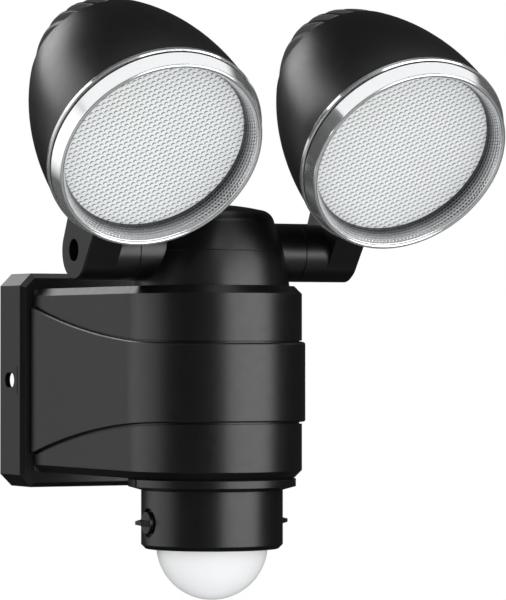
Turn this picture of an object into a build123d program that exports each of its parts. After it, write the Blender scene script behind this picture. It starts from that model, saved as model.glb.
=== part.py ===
from build123d import *

import os
from math import asin, atan2, cos, degrees, pi, radians, sin, sqrt

# Twin-head wall floodlight with a motion sensor, in millimetres.
# Origin: middle of the wall face. +Z is up, the light faces -Y, +X is its right seen from the front.

# Wall side: open-backed box, its slots and the bracket it hangs on
BOX_WIDTH = 93.9
BOX_HEIGHT = 99.5
BOX_DEPTH = 25.2
BOX_CORNER = 5.7
BOX_BEVEL = 2.2
BOX_WALL = 2.6
LOCK_SLOT_LENGTH = 10.8
LOCK_SLOT_WIDTH = 7.0
LOCK_SLOT_MID = 11.0
INDEX_LINE_HEIGHT = 13.0
INDEX_LINE_WIDTH = 0.6
INDEX_LINE_DEPTH = 0.5
INDEX_LINE_GAP = 3.6
BRACKET_SHEET = 1.8
BRACKET_END_GAP = 4.0
BRACKET_FLANGE = 15.0
BRACKET_WINDOW_WIDTH = 12.0
BRACKET_WINDOW_HEIGHT = 22.0
BRACKET_FIT = 0.3
WALL_SCREW_SPACING = 64.0
WALL_SCREW_HOLE_R = 2.6

# Body: round front, sides running back to the box, raised middle band
AXIS_REACH = 130.0
BODY_R = 40.0
BODY_REAR_HALF = 41.2
BODY_HALF_H = 42.5
BODY_CHAMFER = 3.4
BODY_WALL = 2.8
BAND_PROUD = 1.5
BAND_BEVEL = 0.5
BAND_GROOVE_WIDTH = 0.9
BAND_GROOVE_DEPTH = 1.2
BAND_FRONT_HALF = 17.2
BAND_REAR_HALF = 34.2
GASKET_THICK = 1.0
GASKET_INSET = 0.5
CASE_BOSS_R = 4.2
CASE_BOSS_LENGTH = 20.0
CASE_BOSS_X = 34.0
CASE_BOSS_Z = 36.0
WIRE_HOLE_R = 7.0

# Battery pack: four round cells in a tray behind a screwed door
CELL_R = 16.5
CELL_LENGTH = 59.5
CELL_NUB_R = 4.75
CELL_NUB_LENGTH = 1.5
CELL_FIT = 0.3
TRAY_WEB = 1.2
TRAY_SKIN = 1.0
TRAY_END = 2.0
RAIL_WIDTH = 2.4
RAIL_X = 12.0
DOOR_THICK = 2.5
DOOR_LAP = 3.4
DOOR_LUG_R = 4.4
DOOR_LUG_GAP = 2.6
DOOR_NECK = 7.0
CONTACT_SHEET = 0.5
CONTACT_WIDTH = 10.0
CONTACT_SPRING = 1.6
POST_R = 3.0
POST_LENGTH = 6.0
BOARD_WIDTH = 56.0
BOARD_HEIGHT = 60.0
BOARD_THICK = 1.6
BOARD_HOLE_INSET = 5.0
CAPACITOR_R = 6.0
CAPACITOR_LENGTH = 18.0
CAPACITOR_X = 9.0
CAPACITOR_Z = -10.0
CHIP_WIDTH = 18.0
CHIP_HEIGHT = 8.0
CHIP_THICK = 3.0
CHIP_Z = 11.0

# Turret: domed cap in two halves that clamp the arm stubs
TURRET_BASE_R = 34.4
TURRET_SHOULDER_R = 27.7
TURRET_SHOULDER_H = 28.4
TURRET_BULGE = 1.05
TURRET_CROWN_R = 21.8
TURRET_CROWN_H = 33.8
TURRET_H = 36.3
TURRET_WALL = 3.0
TURRET_FLOOR = 2.0
TURRET_SEAM = 0.35
SHAFT_RISE = 15.3
CLAMP_COLUMN_R = 4.0
CLAMP_COLUMN_Y = 19.0
TURRET_BOSS_R = 3.6
TURRET_BOSS_H = 9.0
TURRET_BOSS_X = 13.0
TURRET_BOSS_Y = 21.5

# Arms: fixed stubs, and the knuckles that turn on them
ARM_R = 13.1
STUB_INNER_X = 17.5
STUB_GROOVE_X = 21.0
STUB_GROOVE_WIDTH = 3.4
STUB_GROOVE_R = 11.0
STUB_BORE_R = 8.0
STUB_WEB = 5.0
SEAM_X = 40.7
SEAM_GAP = 0.3
SPIGOT_R = 9.0
SPIGOT_LENGTH = 7.5
KNUCKLE_WIDTH = 11.0
EAR_WIDTH = 15.3
EAR_SPREAD = 3.4
EAR_EDGE = 0.8
EAR_TILT = 31.7
PIVOT_WEB = 7.0
PIVOT_RECESS_R = 5.0
PIVOT_SCREW_R = 2.0
PIVOT_SCREW_LENGTH = 19.0
PIVOT_HEAD_R = 4.2
PIVOT_HEAD_H = 3.0
PIVOT_WASHER_R = 4.7
PIVOT_WASHER_THICK = 1.0

# Lamp heads: egg-shaped shells tilted down, bright bezels, clear lenses
HEAD_TILT = 35.6
HEAD_RISE = 73.7
RIM_FORWARD = 28.3
SHELL_R = 47.6
SHELL_LENGTH = 91.6
SHELL_CAP_R = 30.0
SHELL_WALL = 2.4
FIN_PITCH = 6.6
FIN_THICK = 1.8
FIN_CIRCLE_R = 34.6
FIN_DEPTH = 11.6
FINS_EACH_SIDE = 4
BEZEL_R = 48.1
BEZEL_FLANGE = 2.6
BEZEL_GROOVE = 0.6
BEZEL_GROOVE_DEPTH = 1.2
BEZEL_LIP_R = 45.4
BEZEL_LIP_WIDTH = 2.0
BEZEL_FRONT = 10.2
BEZEL_EDGE = 0.5
LENS_WINDOW_R = 40.4
LENS_LEAD = 0.6
LENS_THICK = 3.0
LENS_SEAL_THICK = 1.5
LENS_SEAL_WIDTH = 2.6
LENS_FIT = 0.4
SHELF_THICK = 2.5
SHELF_R = 41.6
REFLECTOR_DEPTH = 32.0
REFLECTOR_WALL = 1.4
REFLECTOR_MOUTH_R = 9.0
LED_R = 6.5
LED_THICK = 1.4
LED_BOARD_R = 15.0
LED_BOARD_THICK = 1.6
SINK_BASE_THICK = 3.0
SINK_CORE_R = 5.0
SINK_FIN_THICK = 2.0
SINK_FIN_COUNT = 8
SINK_PAD_R = 14.0

# Motion sensor: collar under the body, dome lens, two adjusting knobs
SENSOR_SEAL = 0.4
FLANGE_R = 37.3
FLANGE_EDGE = 3.3
FLANGE_CONE = 1.6
FLANGE_NOTCH_WIDTH = 1.4
FLANGE_NOTCH_DEPTH = 2.0
COLLAR_R = 31.5
COLLAR_WALL = 3.0
COLLAR_H = 26.0
COLLAR_CHAMFER = 1.9
DOME_R = 24.8
DOME_DROP = 22.9
DOME_WALL = 1.2
DOME_FLANGE = 1.9
DOME_FLANGE_THICK = 1.5
DOME_FIT = 0.3
COLLAR_LIP = 2.4
RETAINER_THICK = 2.0
RETAINER_WIDTH = 3.0
SENSOR_BOARD_DROP = 8.2
LEDGE_THICK = 2.0
LEDGE_WIDTH = 1.5
PIR_RIM_R = 4.6
PIR_RIM_H = 1.1
PIR_CAN_R = 3.9
PIR_H = 4.4
SENSOR_WIRE_HOLE_R = 4.0
KNOB_DROP = 14.2
KNOB_R = 4.9
KNOB_POCKET_R = 6.5
KNOB_POCKET_DEPTH = 2.0
KNOB_DISC = 2.9
KNOB_REACH = 36.3
KNOB_BAR = 2.9
KNOB_BAR_TIP = 1.6
KNOB_STEM_R = 1.5
KNOB_BOSS_R = 5.6
KNOB_BOSS_DEPTH = 3.5
POT_SIZE = 9.6
POT_DEPTH = 5.0

# Clearances
FIT = 0.05
RUN_GAP = 0.3
SCREW_END_GAP = 1.0

# Screws
CASE_SCREW_R = 1.5
CASE_SCREW_GRIP = 10.0
TURRET_SCREW_GRIP = 7.0
SMALL_SCREW_R = 1.3
SMALL_SCREW_GRIP = 4.0
SCREW_HEAD_R = 2.8
SCREW_HEAD_H = 1.8
FLANGE_SCREW_GRIP = 2.6
FLANGE_SCREW_COUNT = 3

SIDES = {"left": -1, "right": 1}

# Planes and heights that several pieces share
PANEL_BACK = -(BOX_DEPTH - BOX_WALL)
PANEL_FRONT = -BOX_DEPTH
CASE_REAR = PANEL_FRONT - GASKET_THICK
BODY_TOP = BODY_HALF_H
SHAFT_Z = BODY_TOP + SHAFT_RISE
FLANGE_TOP = -BODY_HALF_H - SENSOR_SEAL
COLLAR_TOP = FLANGE_TOP - FLANGE_EDGE - FLANGE_CONE
COLLAR_BOTTOM = COLLAR_TOP - COLLAR_H
COLLAR_BORE_R = COLLAR_R - COLLAR_WALL
SENSOR_BOARD_TOP = COLLAR_TOP - SENSOR_BOARD_DROP + BOARD_THICK
KNOB_Z = COLLAR_TOP - KNOB_DROP
POCKET_FLOOR_X = COLLAR_R - KNOB_POCKET_DEPTH
POT_FACE_X = POCKET_FLOOR_X - KNOB_BOSS_DEPTH
DOOR_LUG_Z = BOX_HEIGHT / 2 - BOX_WALL - DOOR_LUG_GAP - DOOR_LUG_R
CELL_PITCH = 2 * (CELL_R + CELL_FIT) + TRAY_WEB
TRAY_HALF = CELL_PITCH / 2 + CELL_R + CELL_FIT + TRAY_SKIN
CELL_REAR = PANEL_BACK - CONTACT_SHEET
CELL_FRONT = CELL_REAR - CELL_LENGTH - CELL_NUB_LENGTH
TRAY_BORE_END = CELL_FRONT - CONTACT_SPRING - CONTACT_SHEET
TRAY_FRONT = TRAY_BORE_END - TRAY_END
KNUCKLE_X = SEAM_X + SEAM_GAP
EAR_X = KNUCKLE_X + KNUCKLE_WIDTH
EAR_END_X = EAR_X + EAR_WIDTH
HEAD_X = EAR_X + EAR_WIDTH / 2
SPIGOT_END_X = SEAM_X + SPIGOT_LENGTH
PIVOT_SEAT_X = SPIGOT_END_X + RUN_GAP + PIVOT_WEB
LENS_BACK = LENS_THICK - LENS_LEAD
SHELF_FRONT = LENS_BACK + LENS_SEAL_THICK
SHELL_BORE_R = SHELL_R - SHELL_WALL
REFLECTOR_FRONT = LENS_BACK + RUN_GAP
REFLECTOR_END = REFLECTOR_FRONT + REFLECTOR_DEPTH
LED_BOARD_FRONT = REFLECTOR_END + RUN_GAP
SINK_FRONT = LED_BOARD_FRONT + LED_BOARD_THICK
CAVITY_LENGTH = SHELL_LENGTH - FIN_DEPTH - SHELL_WALL


def rod(start, axis, radius, length):
    """Round bar from a start point along an axis."""
    return extrude(Plane(origin=start, z_dir=axis) * Circle(radius), length)


def block(x, y, z):
    """Box from its low and high limits along each axis."""
    size = [high - low for low, high in (x, y, z)]
    middle = [(low + high) / 2 for low, high in (x, y, z)]
    return Pos(*middle) * Box(*size)


def screw(seat, axis, shank_r, length, head_r=SCREW_HEAD_R, head_h=SCREW_HEAD_H):
    """Cap-head screw: its head sits on the seat point and its shank runs along the axis."""
    direction = Vector(*axis)
    return rod(seat, direction, shank_r, length) + rod(seat, direction * -1, head_r, head_h)


def upright_turned(edges):
    """Solid of revolution about the upright axis, from edges given as (radius, height)."""
    return Pos(0, -AXIS_REACH, 0) * revolve(Plane.XZ * make_face(edges), Axis.Z)


def outline(points):
    """Closed run of straight edges through points."""
    return Polyline(*points, close=True).edges()


def on_axis(x, y, z):
    """Point given from the upright axis instead of the wall."""
    return (x, y - AXIS_REACH, z)


# Wall box and bracket

def box_outline(inset):
    """Front outline of the wall box with cut corners, moved in by a wall."""
    half_w = BOX_WIDTH / 2 - inset
    half_h = BOX_HEIGHT / 2 - inset
    cut = BOX_CORNER - inset * (2 - sqrt(2))
    corner = [(half_w, half_h - cut), (half_w - cut, half_h)]
    right = corner + [(-x, z) for x, z in reversed(corner)]
    points = right + [(-x, -z) for x, z in right]
    return Plane.XZ * make_face(outline(points))


def rounded_square(half, radius):
    """Square with round corners, seen from the front."""
    return Plane.XZ * RectangleRounded(2 * half, 2 * half, radius)


def lock_slots(width):
    """Two side slots for locking screws, as cutters that reach in by a width."""
    slot = Plane.YZ * Pos(-LOCK_SLOT_MID, 0) * SlotOverall(LOCK_SLOT_LENGTH, LOCK_SLOT_WIDTH)
    through = extrude(slot, BOX_WIDTH, both=True)
    core = BOX_WIDTH / 2 - width
    return through - block((-core, core), (-BOX_DEPTH, 0), (-BOX_HEIGHT, BOX_HEIGHT))


def back_box():
    """Open-backed box with a bevelled front, side slots and the battery opening."""
    box = extrude(box_outline(0), BOX_DEPTH)
    box = chamfer(box.edges().group_by(Axis.Y)[0], BOX_BEVEL)
    box -= extrude(box_outline(BOX_WALL), BOX_DEPTH - BOX_WALL)
    opening = rounded_square(TRAY_HALF - TRAY_SKIN, CELL_R + CELL_FIT)
    box -= extrude(opening, BOX_DEPTH)
    box -= lock_slots(2 * BOX_WALL)
    line_y = -LOCK_SLOT_MID - LOCK_SLOT_LENGTH / 2 - INDEX_LINE_GAP
    for side in SIDES.values():
        face_x = side * BOX_WIDTH / 2
        line = Box(2 * INDEX_LINE_DEPTH, INDEX_LINE_WIDTH, INDEX_LINE_HEIGHT)
        box -= Pos(face_x, line_y, 0) * line
    for seat in case_screw_seats():
        box -= rod(seat, (0, -1, 0), CASE_SCREW_R + FIT, BOX_WALL)
    for seat in door_screw_seats():
        box -= rod((seat[0], PANEL_BACK, seat[2]), (0, -1, 0), SMALL_SCREW_R + FIT, BOX_WALL)
    return box


def wall_bracket():
    """Sheet bracket: a plate on the wall and two side flanges inside the box, cut out behind the slots."""
    half = BOX_WIDTH / 2 - BOX_WALL - BRACKET_FIT
    half_h = BOX_HEIGHT / 2 - BOX_WALL - BRACKET_END_GAP
    height = (-half_h, half_h)
    plate = block((-half, half), (-BRACKET_SHEET, 0), height)
    window_half = BRACKET_WINDOW_HEIGHT / 2
    for side in SIDES.values():
        outer = side * half
        inner = side * (half - BRACKET_SHEET)
        window = side * (half - BRACKET_WINDOW_WIDTH)
        flange_x = (min(outer, inner), max(outer, inner))
        plate += block(flange_x, (-BRACKET_FLANGE, 0), height)
        window_x = (min(outer, window), max(outer, window))
        plate -= block(window_x, (-BRACKET_FLANGE, 0), (-window_half, window_half))
    for z in (-WALL_SCREW_SPACING / 2, WALL_SCREW_SPACING / 2):
        plate -= rod((0, -BRACKET_SHEET, z), (0, 1, 0), WALL_SCREW_HOLE_R, BRACKET_SHEET)
    return plate


# Body

def body_plan(radius, half_rear, rear):
    """Plan of the body: round front about the upright axis, nearly straight sides to the rear."""
    front = ThreePointArc(on_axis(-radius, 0, 0), on_axis(0, -radius, 0), on_axis(radius, 0, 0))
    right = Line(on_axis(radius, 0, 0), (half_rear, rear, 0))
    back = Line((half_rear, rear, 0), (-half_rear, rear, 0))
    left = Line((-half_rear, rear, 0), on_axis(-radius, 0, 0))
    return make_face([front, right, back, left])


def body_prism(inset, half_h, rear=CASE_REAR):
    """Upright prism on the body's plan, moved in by an inset."""
    plan = body_plan(BODY_R - inset, BODY_REAR_HALF - inset, rear)
    return extrude(plan, half_h, both=True)


def band_zone(grow):
    """Space that the band takes seen from the side: narrow at the front and sweeping out to the rear."""
    front_half = BAND_FRONT_HALF + grow
    rear_half = BAND_REAR_HALF + grow
    front = -AXIS_REACH - BODY_R
    run = CASE_REAR - front
    rise = rear_half - front_half
    sweep_r = (run ** 2 + rise ** 2) / (2 * rise)
    middle = front_half + sweep_r - sqrt(sweep_r ** 2 - (run / 2) ** 2)
    nose = front - 2 * BAND_PROUD
    edges = [
        ThreePointArc((front, front_half), (front + run / 2, middle), (CASE_REAR, rear_half)),
        Line((CASE_REAR, rear_half), (CASE_REAR, -rear_half)),
        ThreePointArc((front, -front_half), (front + run / 2, -middle), (CASE_REAR, -rear_half)),
        Line((front, -front_half), (nose, -front_half)),
        Line((nose, -front_half), (nose, front_half)),
        Line((nose, front_half), (front, front_half)),
    ]
    return extrude(Plane.YZ * make_face(edges), BOX_WIDTH, both=True)


def band_groove():
    """Fine groove in the body along both edges of the band."""
    skin = body_prism(0, BODY_HALF_H) - body_prism(BAND_GROOVE_DEPTH, BODY_HALF_H)
    return skin & (band_zone(BAND_GROOVE_WIDTH) - band_zone(0))


def side_band():
    """Raised band round the front and along the sides, with bevelled long edges."""
    band = body_prism(-BAND_PROUD, BODY_HALF_H) & band_zone(0)
    long_edges = [
        edge for edge in band.edges()
        if abs(edge.center().Z) > BAND_FRONT_HALF - BAND_PROUD and edge.center().Y < CASE_REAR - BAND_PROUD
    ]
    return chamfer(long_edges, BAND_BEVEL)


def case_screw_seats():
    """Where the four screws from the wall box into the body sit."""
    return [(x, PANEL_BACK, z) for x in (-CASE_BOSS_X, CASE_BOSS_X) for z in (-CASE_BOSS_Z, CASE_BOSS_Z)]


def turret_screw_seats():
    """Where the screws from the body's top wall into the turret sit."""
    z = BODY_TOP - BODY_WALL
    return [
        on_axis(x, y, z) for x in (-TURRET_BOSS_X, TURRET_BOSS_X) for y in (-TURRET_BOSS_Y, TURRET_BOSS_Y)
    ]


def sensor_screw_seats():
    """Where the screws from the body's floor into the sensor flange sit."""
    circle_r = (FLANGE_R + COLLAR_R - COLLAR_WALL) / 2
    z = BODY_WALL - BODY_HALF_H
    angles = [radians(90 + 360 / FLANGE_SCREW_COUNT * i) for i in range(FLANGE_SCREW_COUNT)]
    return [on_axis(circle_r * cos(a), circle_r * sin(a), z) for a in angles]


def body_housing():
    """Hollow moulded body, open at the rear, with bosses, tray rails and wire holes."""
    body = body_prism(0, BODY_HALF_H)
    rims = body.edges().group_by(Axis.Z)
    outer = [edge for edge in rims[0] + rims[-1] if edge.center().Y < CASE_REAR - BODY_CHAMFER]
    body = chamfer(outer, BODY_CHAMFER) - band_groove() + side_band()
    inside_h = BODY_HALF_H - BODY_WALL
    body -= body_prism(BODY_WALL, inside_h)
    for x, _, z in case_screw_seats():
        boss = rod((x, CASE_REAR, z), (0, -1, 0), CASE_BOSS_R, CASE_BOSS_LENGTH)
        body += boss & body_prism(0, BODY_HALF_H - BODY_WALL / 2)
    rail_length = TRAY_FRONT - CASE_REAR
    for x in (-RAIL_X, RAIL_X):
        for side in (-1, 1):
            foot = side * (TRAY_HALF + RUN_GAP)
            root = side * (BODY_HALF_H - BODY_WALL / 2)
            rail_z = (min(foot, root), max(foot, root))
            rail_x = (x - RAIL_WIDTH / 2, x + RAIL_WIDTH / 2)
            body += block(rail_x, (CASE_REAR + rail_length, CASE_REAR - CASE_BOSS_R), rail_z)
    for x, _, z in case_screw_seats():
        body -= rod((x, CASE_REAR, z), (0, -1, 0), CASE_SCREW_R + FIT, CASE_SCREW_GRIP + SCREW_END_GAP)
    for seat in turret_screw_seats():
        body -= rod(seat, (0, 0, 1), CASE_SCREW_R + FIT, BODY_WALL)
    for seat in sensor_screw_seats():
        body -= rod(seat, (0, 0, -1), SMALL_SCREW_R + FIT, BODY_WALL)
    body -= rod(on_axis(0, 0, -BODY_HALF_H), (0, 0, 1), WIRE_HOLE_R, 2 * BODY_HALF_H)
    return body


def body_seal():
    """Flat gasket between the body's rear edge and the wall box."""
    ring = body_prism(GASKET_INSET, BODY_HALF_H - GASKET_INSET, PANEL_FRONT)
    ring -= body_prism(BODY_WALL, BODY_HALF_H - BODY_WALL, PANEL_FRONT)
    behind = block((-BOX_WIDTH, BOX_WIDTH), (CASE_REAR, PANEL_FRONT), (-BOX_HEIGHT, BOX_HEIGHT))
    return ring & behind


def case_screws():
    """Four screws that hold the wall box to the body."""
    length = BOX_WALL + GASKET_THICK + CASE_SCREW_GRIP
    return Part() + [screw(seat, (0, -1, 0), CASE_SCREW_R, length) for seat in case_screw_seats()]


# Battery pack

def cell_centres():
    """Middles of the four cells, seen from the front."""
    half = CELL_PITCH / 2
    return [(x, z) for x in (-half, half) for z in (-half, half)]


def board_posts():
    """Places of the posts that carry the control board."""
    x = BOARD_WIDTH / 2 - BOARD_HOLE_INSET
    z = BOARD_HEIGHT / 2 - BOARD_HOLE_INSET
    return [(i * x, k * z) for i in (-1, 1) for k in (-1, 1)]


def battery_tray():
    """Four-bore cell tray with posts for the control board on its front."""
    rear = PANEL_FRONT - RUN_GAP
    tray = Pos(0, rear, 0) * extrude(
        rounded_square(TRAY_HALF, CELL_R + CELL_FIT + TRAY_SKIN), rear - TRAY_FRONT
    )
    for x, z in cell_centres():
        tray -= rod((x, rear, z), (0, -1, 0), CELL_R + CELL_FIT, rear - TRAY_BORE_END)
    for x, z in board_posts():
        tray += rod((x, TRAY_FRONT, z), (0, -1, 0), POST_R, POST_LENGTH)
        tray -= rod((x, TRAY_FRONT - POST_LENGTH, z), (0, 1, 0), SMALL_SCREW_R + FIT, SMALL_SCREW_GRIP)
    return tray


def batteries():
    """Four round cells, each with its nub, in alternate directions."""
    cells = []
    for x, z in cell_centres():
        forward = 1 if x * z > 0 else -1
        start = CELL_REAR if forward > 0 else CELL_REAR - CELL_NUB_LENGTH
        can = rod((x, start, z), (0, -1, 0), CELL_R, CELL_LENGTH)
        nub_start = CELL_REAR - CELL_LENGTH if forward > 0 else CELL_REAR
        cells.append(can + rod((x, nub_start, z), (0, -1, 0), CELL_NUB_R, CELL_NUB_LENGTH))
    return Part() + cells


def front_contacts():
    """Leaf contacts at the front end of the bores, each with a bent spring tongue."""
    reach = CELL_R / 2
    profile = [
        (-reach, TRAY_BORE_END),
        (reach, TRAY_BORE_END),
        (reach, TRAY_BORE_END + CONTACT_SHEET),
        (CONTACT_WIDTH / 4, TRAY_BORE_END + CONTACT_SHEET + CONTACT_SPRING),
        (-CONTACT_WIDTH / 4, TRAY_BORE_END + CONTACT_SHEET + CONTACT_SPRING),
        (-reach, TRAY_BORE_END + CONTACT_SHEET),
    ]
    leaf = extrude(make_face(outline(profile)), CONTACT_WIDTH / 2, both=True)
    return Part() + [Pos(x, 0, z) * leaf for x, z in cell_centres()]


def door_contacts():
    """Two strips on the door that bridge the cells in pairs."""
    half = CELL_PITCH / 2 + CELL_NUB_R
    strips = []
    for x in (-CELL_PITCH / 2, CELL_PITCH / 2):
        width = (x - CONTACT_WIDTH / 2, x + CONTACT_WIDTH / 2)
        strips.append(block(width, (CELL_REAR, PANEL_BACK), (-half, half)))
    return Part() + strips


def door_screw_seats():
    """Where the two battery door screws sit."""
    return [(0, PANEL_BACK + DOOR_THICK, z) for z in (-DOOR_LUG_Z, DOOR_LUG_Z)]


def battery_door():
    """Door behind the battery opening, with a screw lug on a neck at the top and the bottom."""
    door = rounded_square(TRAY_HALF - TRAY_SKIN + DOOR_LAP, CELL_R + CELL_FIT + DOOR_LAP)
    plate = Pos(0, PANEL_BACK + DOOR_THICK, 0) * extrude(door, DOOR_THICK)
    for x, y, z in door_screw_seats():
        plate += rod((x, y, z), (0, -1, 0), DOOR_LUG_R, DOOR_THICK)
        neck = (x - DOOR_NECK / 2, x + DOOR_NECK / 2)
        plate += block(neck, (y - DOOR_THICK, y), sorted((0, z)))
    for seat in door_screw_seats():
        plate -= rod(seat, (0, -1, 0), SMALL_SCREW_R + FIT, DOOR_THICK)
    return plate


def door_screws():
    """Two screws of the battery door."""
    length = DOOR_THICK + BOX_WALL - RUN_GAP
    return Part() + [screw(seat, (0, -1, 0), SMALL_SCREW_R, length) for seat in door_screw_seats()]


def control_board():
    """Control board on the tray's posts, with its tall parts."""
    back = TRAY_FRONT - POST_LENGTH
    half_w = BOARD_WIDTH / 2
    half_h = BOARD_HEIGHT / 2
    board = block((-half_w, half_w), (back - BOARD_THICK, back), (-half_h, half_h))
    front = back - BOARD_THICK
    for x, z in board_posts():
        board -= rod((x, back, z), (0, -1, 0), SMALL_SCREW_R + FIT, BOARD_THICK)
    for x in (-CAPACITOR_X, CAPACITOR_X):
        board += rod((x, front, CAPACITOR_Z), (0, -1, 0), CAPACITOR_R, CAPACITOR_LENGTH)
    return board + Pos(0, front - CHIP_THICK / 2, CHIP_Z) * Box(CHIP_WIDTH, CHIP_THICK, CHIP_HEIGHT)


def control_board_screws():
    """Four screws of the control board."""
    seat_y = TRAY_FRONT - POST_LENGTH - BOARD_THICK
    length = BOARD_THICK + SMALL_SCREW_GRIP - RUN_GAP
    return Part() + [screw((x, seat_y, z), (0, 1, 0), SMALL_SCREW_R, length) for x, z in board_posts()]


# Turret

def turret_form(inset):
    """Domed cap on the body's top: leaning side, round shoulder and flat crown, moved in by a wall."""
    base = (TURRET_BASE_R - inset, BODY_TOP)
    shoulder = (TURRET_SHOULDER_R - inset, BODY_TOP + TURRET_SHOULDER_H - inset / 2)
    waist = ((base[0] + shoulder[0]) / 2 + TURRET_BULGE, (base[1] + shoulder[1]) / 2)
    crown = (TURRET_CROWN_R - inset, BODY_TOP + TURRET_CROWN_H - inset)
    turn = ((shoulder[0] * 2 + crown[0]) / 3, (shoulder[1] + crown[1] * 2) / 3)
    pole = (0, BODY_TOP + TURRET_H - inset)
    rise = pole[1] - crown[1]
    crown_r = (crown[0] ** 2 + rise ** 2) / (2 * rise)
    brow = (crown[0] / 2, pole[1] - crown_r + sqrt(crown_r ** 2 - (crown[0] / 2) ** 2))
    return upright_turned([
        Line((0, BODY_TOP), base),
        ThreePointArc(base, waist, shoulder),
        ThreePointArc(shoulder, turn, crown),
        ThreePointArc(crown, brow, pole),
        Line(pole, (0, BODY_TOP)),
    ])


def clamp_columns():
    """Places of the two columns that draw the turret halves together."""
    return [on_axis(0, y, BODY_TOP) for y in (-CLAMP_COLUMN_Y, CLAMP_COLUMN_Y)]


def turret_whole():
    """Both turret halves in one piece: wall, floor, stub saddles, screw bosses and bores."""
    solid = turret_form(0)
    shell = solid - turret_form(TURRET_WALL)
    wide = (-TURRET_BASE_R, TURRET_BASE_R)
    deep = (-AXIS_REACH - TURRET_BASE_R, -AXIS_REACH + TURRET_BASE_R)
    filling = block(wide, deep, (BODY_TOP, BODY_TOP + TURRET_FLOOR))
    saddle_x = (STUB_GROOVE_X + FIT, STUB_GROOVE_X + STUB_GROOVE_WIDTH - FIT)
    tall = (BODY_TOP, BODY_TOP + TURRET_H)
    filling += block(saddle_x, deep, tall)
    filling += block((-saddle_x[1], -saddle_x[0]), deep, tall)
    for foot in clamp_columns():
        filling += rod(foot, (0, 0, 1), CLAMP_COLUMN_R, TURRET_H)
    for x, y, _ in turret_screw_seats():
        filling += rod((x, y, BODY_TOP), (0, 0, 1), TURRET_BOSS_R, TURRET_BOSS_H)
    whole = shell + (filling & solid)
    for side in SIDES.values():
        axis = (side, 0, 0)
        inner = on_axis(side * STUB_INNER_X, 0, SHAFT_Z)
        outer = on_axis(side * (STUB_GROOVE_X + STUB_GROOVE_WIDTH), 0, SHAFT_Z)
        whole -= rod(inner, axis, STUB_GROOVE_R + FIT, TURRET_BASE_R)
        whole -= rod(inner, axis, ARM_R + FIT, STUB_GROOVE_X - STUB_INNER_X)
        whole -= rod(outer, axis, ARM_R + FIT, TURRET_BASE_R)
    for foot in clamp_columns():
        whole -= rod(foot, (0, 0, 1), SCREW_HEAD_R + FIT, SCREW_HEAD_H + RUN_GAP)
        whole -= rod(foot, (0, 0, 1), CASE_SCREW_R + FIT, SHAFT_RISE + CASE_SCREW_GRIP)
    for x, y, _ in turret_screw_seats():
        whole -= rod((x, y, BODY_TOP), (0, 0, 1), CASE_SCREW_R + FIT, TURRET_SCREW_GRIP + SCREW_END_GAP)
    whole -= rod(on_axis(0, 0, BODY_TOP), (0, 0, 1), WIRE_HOLE_R, TURRET_FLOOR)
    return whole


def turret_halves():
    """Lower and upper turret halves, parted at the arms' axis with a fine seam line."""
    whole = turret_whole()
    wide = (-2 * TURRET_BASE_R, 2 * TURRET_BASE_R)
    deep = (-AXIS_REACH - 2 * TURRET_BASE_R, -AXIS_REACH + 2 * TURRET_BASE_R)
    lower = whole & block(wide, deep, (BODY_TOP, SHAFT_Z))
    upper = whole & block(wide, deep, (SHAFT_Z, BODY_TOP + 2 * TURRET_H))
    skin = turret_form(0) - turret_form(TURRET_SEAM)
    upper -= skin & block(wide, deep, (SHAFT_Z, SHAFT_Z + TURRET_SEAM))
    return lower, upper


def turret_clamp_screws():
    """Two screws that draw the turret halves together on the stubs."""
    lift = SCREW_HEAD_H + RUN_GAP
    length = SHAFT_RISE + CASE_SCREW_GRIP - lift - RUN_GAP
    seats = [(x, y, z + lift) for x, y, z in clamp_columns()]
    return Part() + [screw(seat, (0, 0, 1), CASE_SCREW_R, length) for seat in seats]


def turret_screws():
    """Four screws from inside the body into the turret."""
    length = BODY_WALL + TURRET_SCREW_GRIP
    return Part() + [screw(seat, (0, 0, 1), CASE_SCREW_R, length) for seat in turret_screw_seats()]


# Arms

def arm_stub(side):
    """Hollow stub held by the turret, with a spigot that the knuckle turns on."""
    axis = (side, 0, 0)
    inner = on_axis(side * STUB_INNER_X, 0, SHAFT_Z)
    groove_start = on_axis(side * STUB_GROOVE_X, 0, SHAFT_Z)
    length = SEAM_X - STUB_INNER_X
    groove = rod(groove_start, axis, 2 * ARM_R, STUB_GROOVE_WIDTH)
    groove -= rod(groove_start, axis, STUB_GROOVE_R, STUB_GROOVE_WIDTH)
    stub = rod(inner, axis, ARM_R, length) - groove
    stub += rod(on_axis(side * SEAM_X, 0, SHAFT_Z), axis, SPIGOT_R, SPIGOT_LENGTH)
    stub -= rod(inner, axis, STUB_BORE_R, length - STUB_WEB)
    stub -= rod(inner, axis, PIVOT_SCREW_R + FIT, length + SPIGOT_LENGTH)
    return stub


def pivot_screws():
    """Two screws that hold the knuckles on the stubs, deep in the ears' recesses."""
    made = []
    for side in SIDES.values():
        seat = on_axis(side * (PIVOT_SEAT_X + FIT + PIVOT_WASHER_THICK), 0, SHAFT_Z)
        made.append(screw(seat, (-side, 0, 0), PIVOT_SCREW_R, PIVOT_SCREW_LENGTH, PIVOT_HEAD_R, PIVOT_HEAD_H))
    return Part() + made


def pivot_washers():
    """Two friction washers under the pivot screws' heads."""
    made = []
    for side in SIDES.values():
        start = on_axis(side * (PIVOT_SEAT_X + FIT), 0, SHAFT_Z)
        ring = rod(start, (side, 0, 0), PIVOT_WASHER_R, PIVOT_WASHER_THICK)
        made.append(ring - rod(start, (side, 0, 0), PIVOT_SCREW_R + FIT, PIVOT_WASHER_THICK))
    return Part() + made


# Lamp heads. A head is drawn level about the arms' axis, then tilted and lifted to its place

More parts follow.
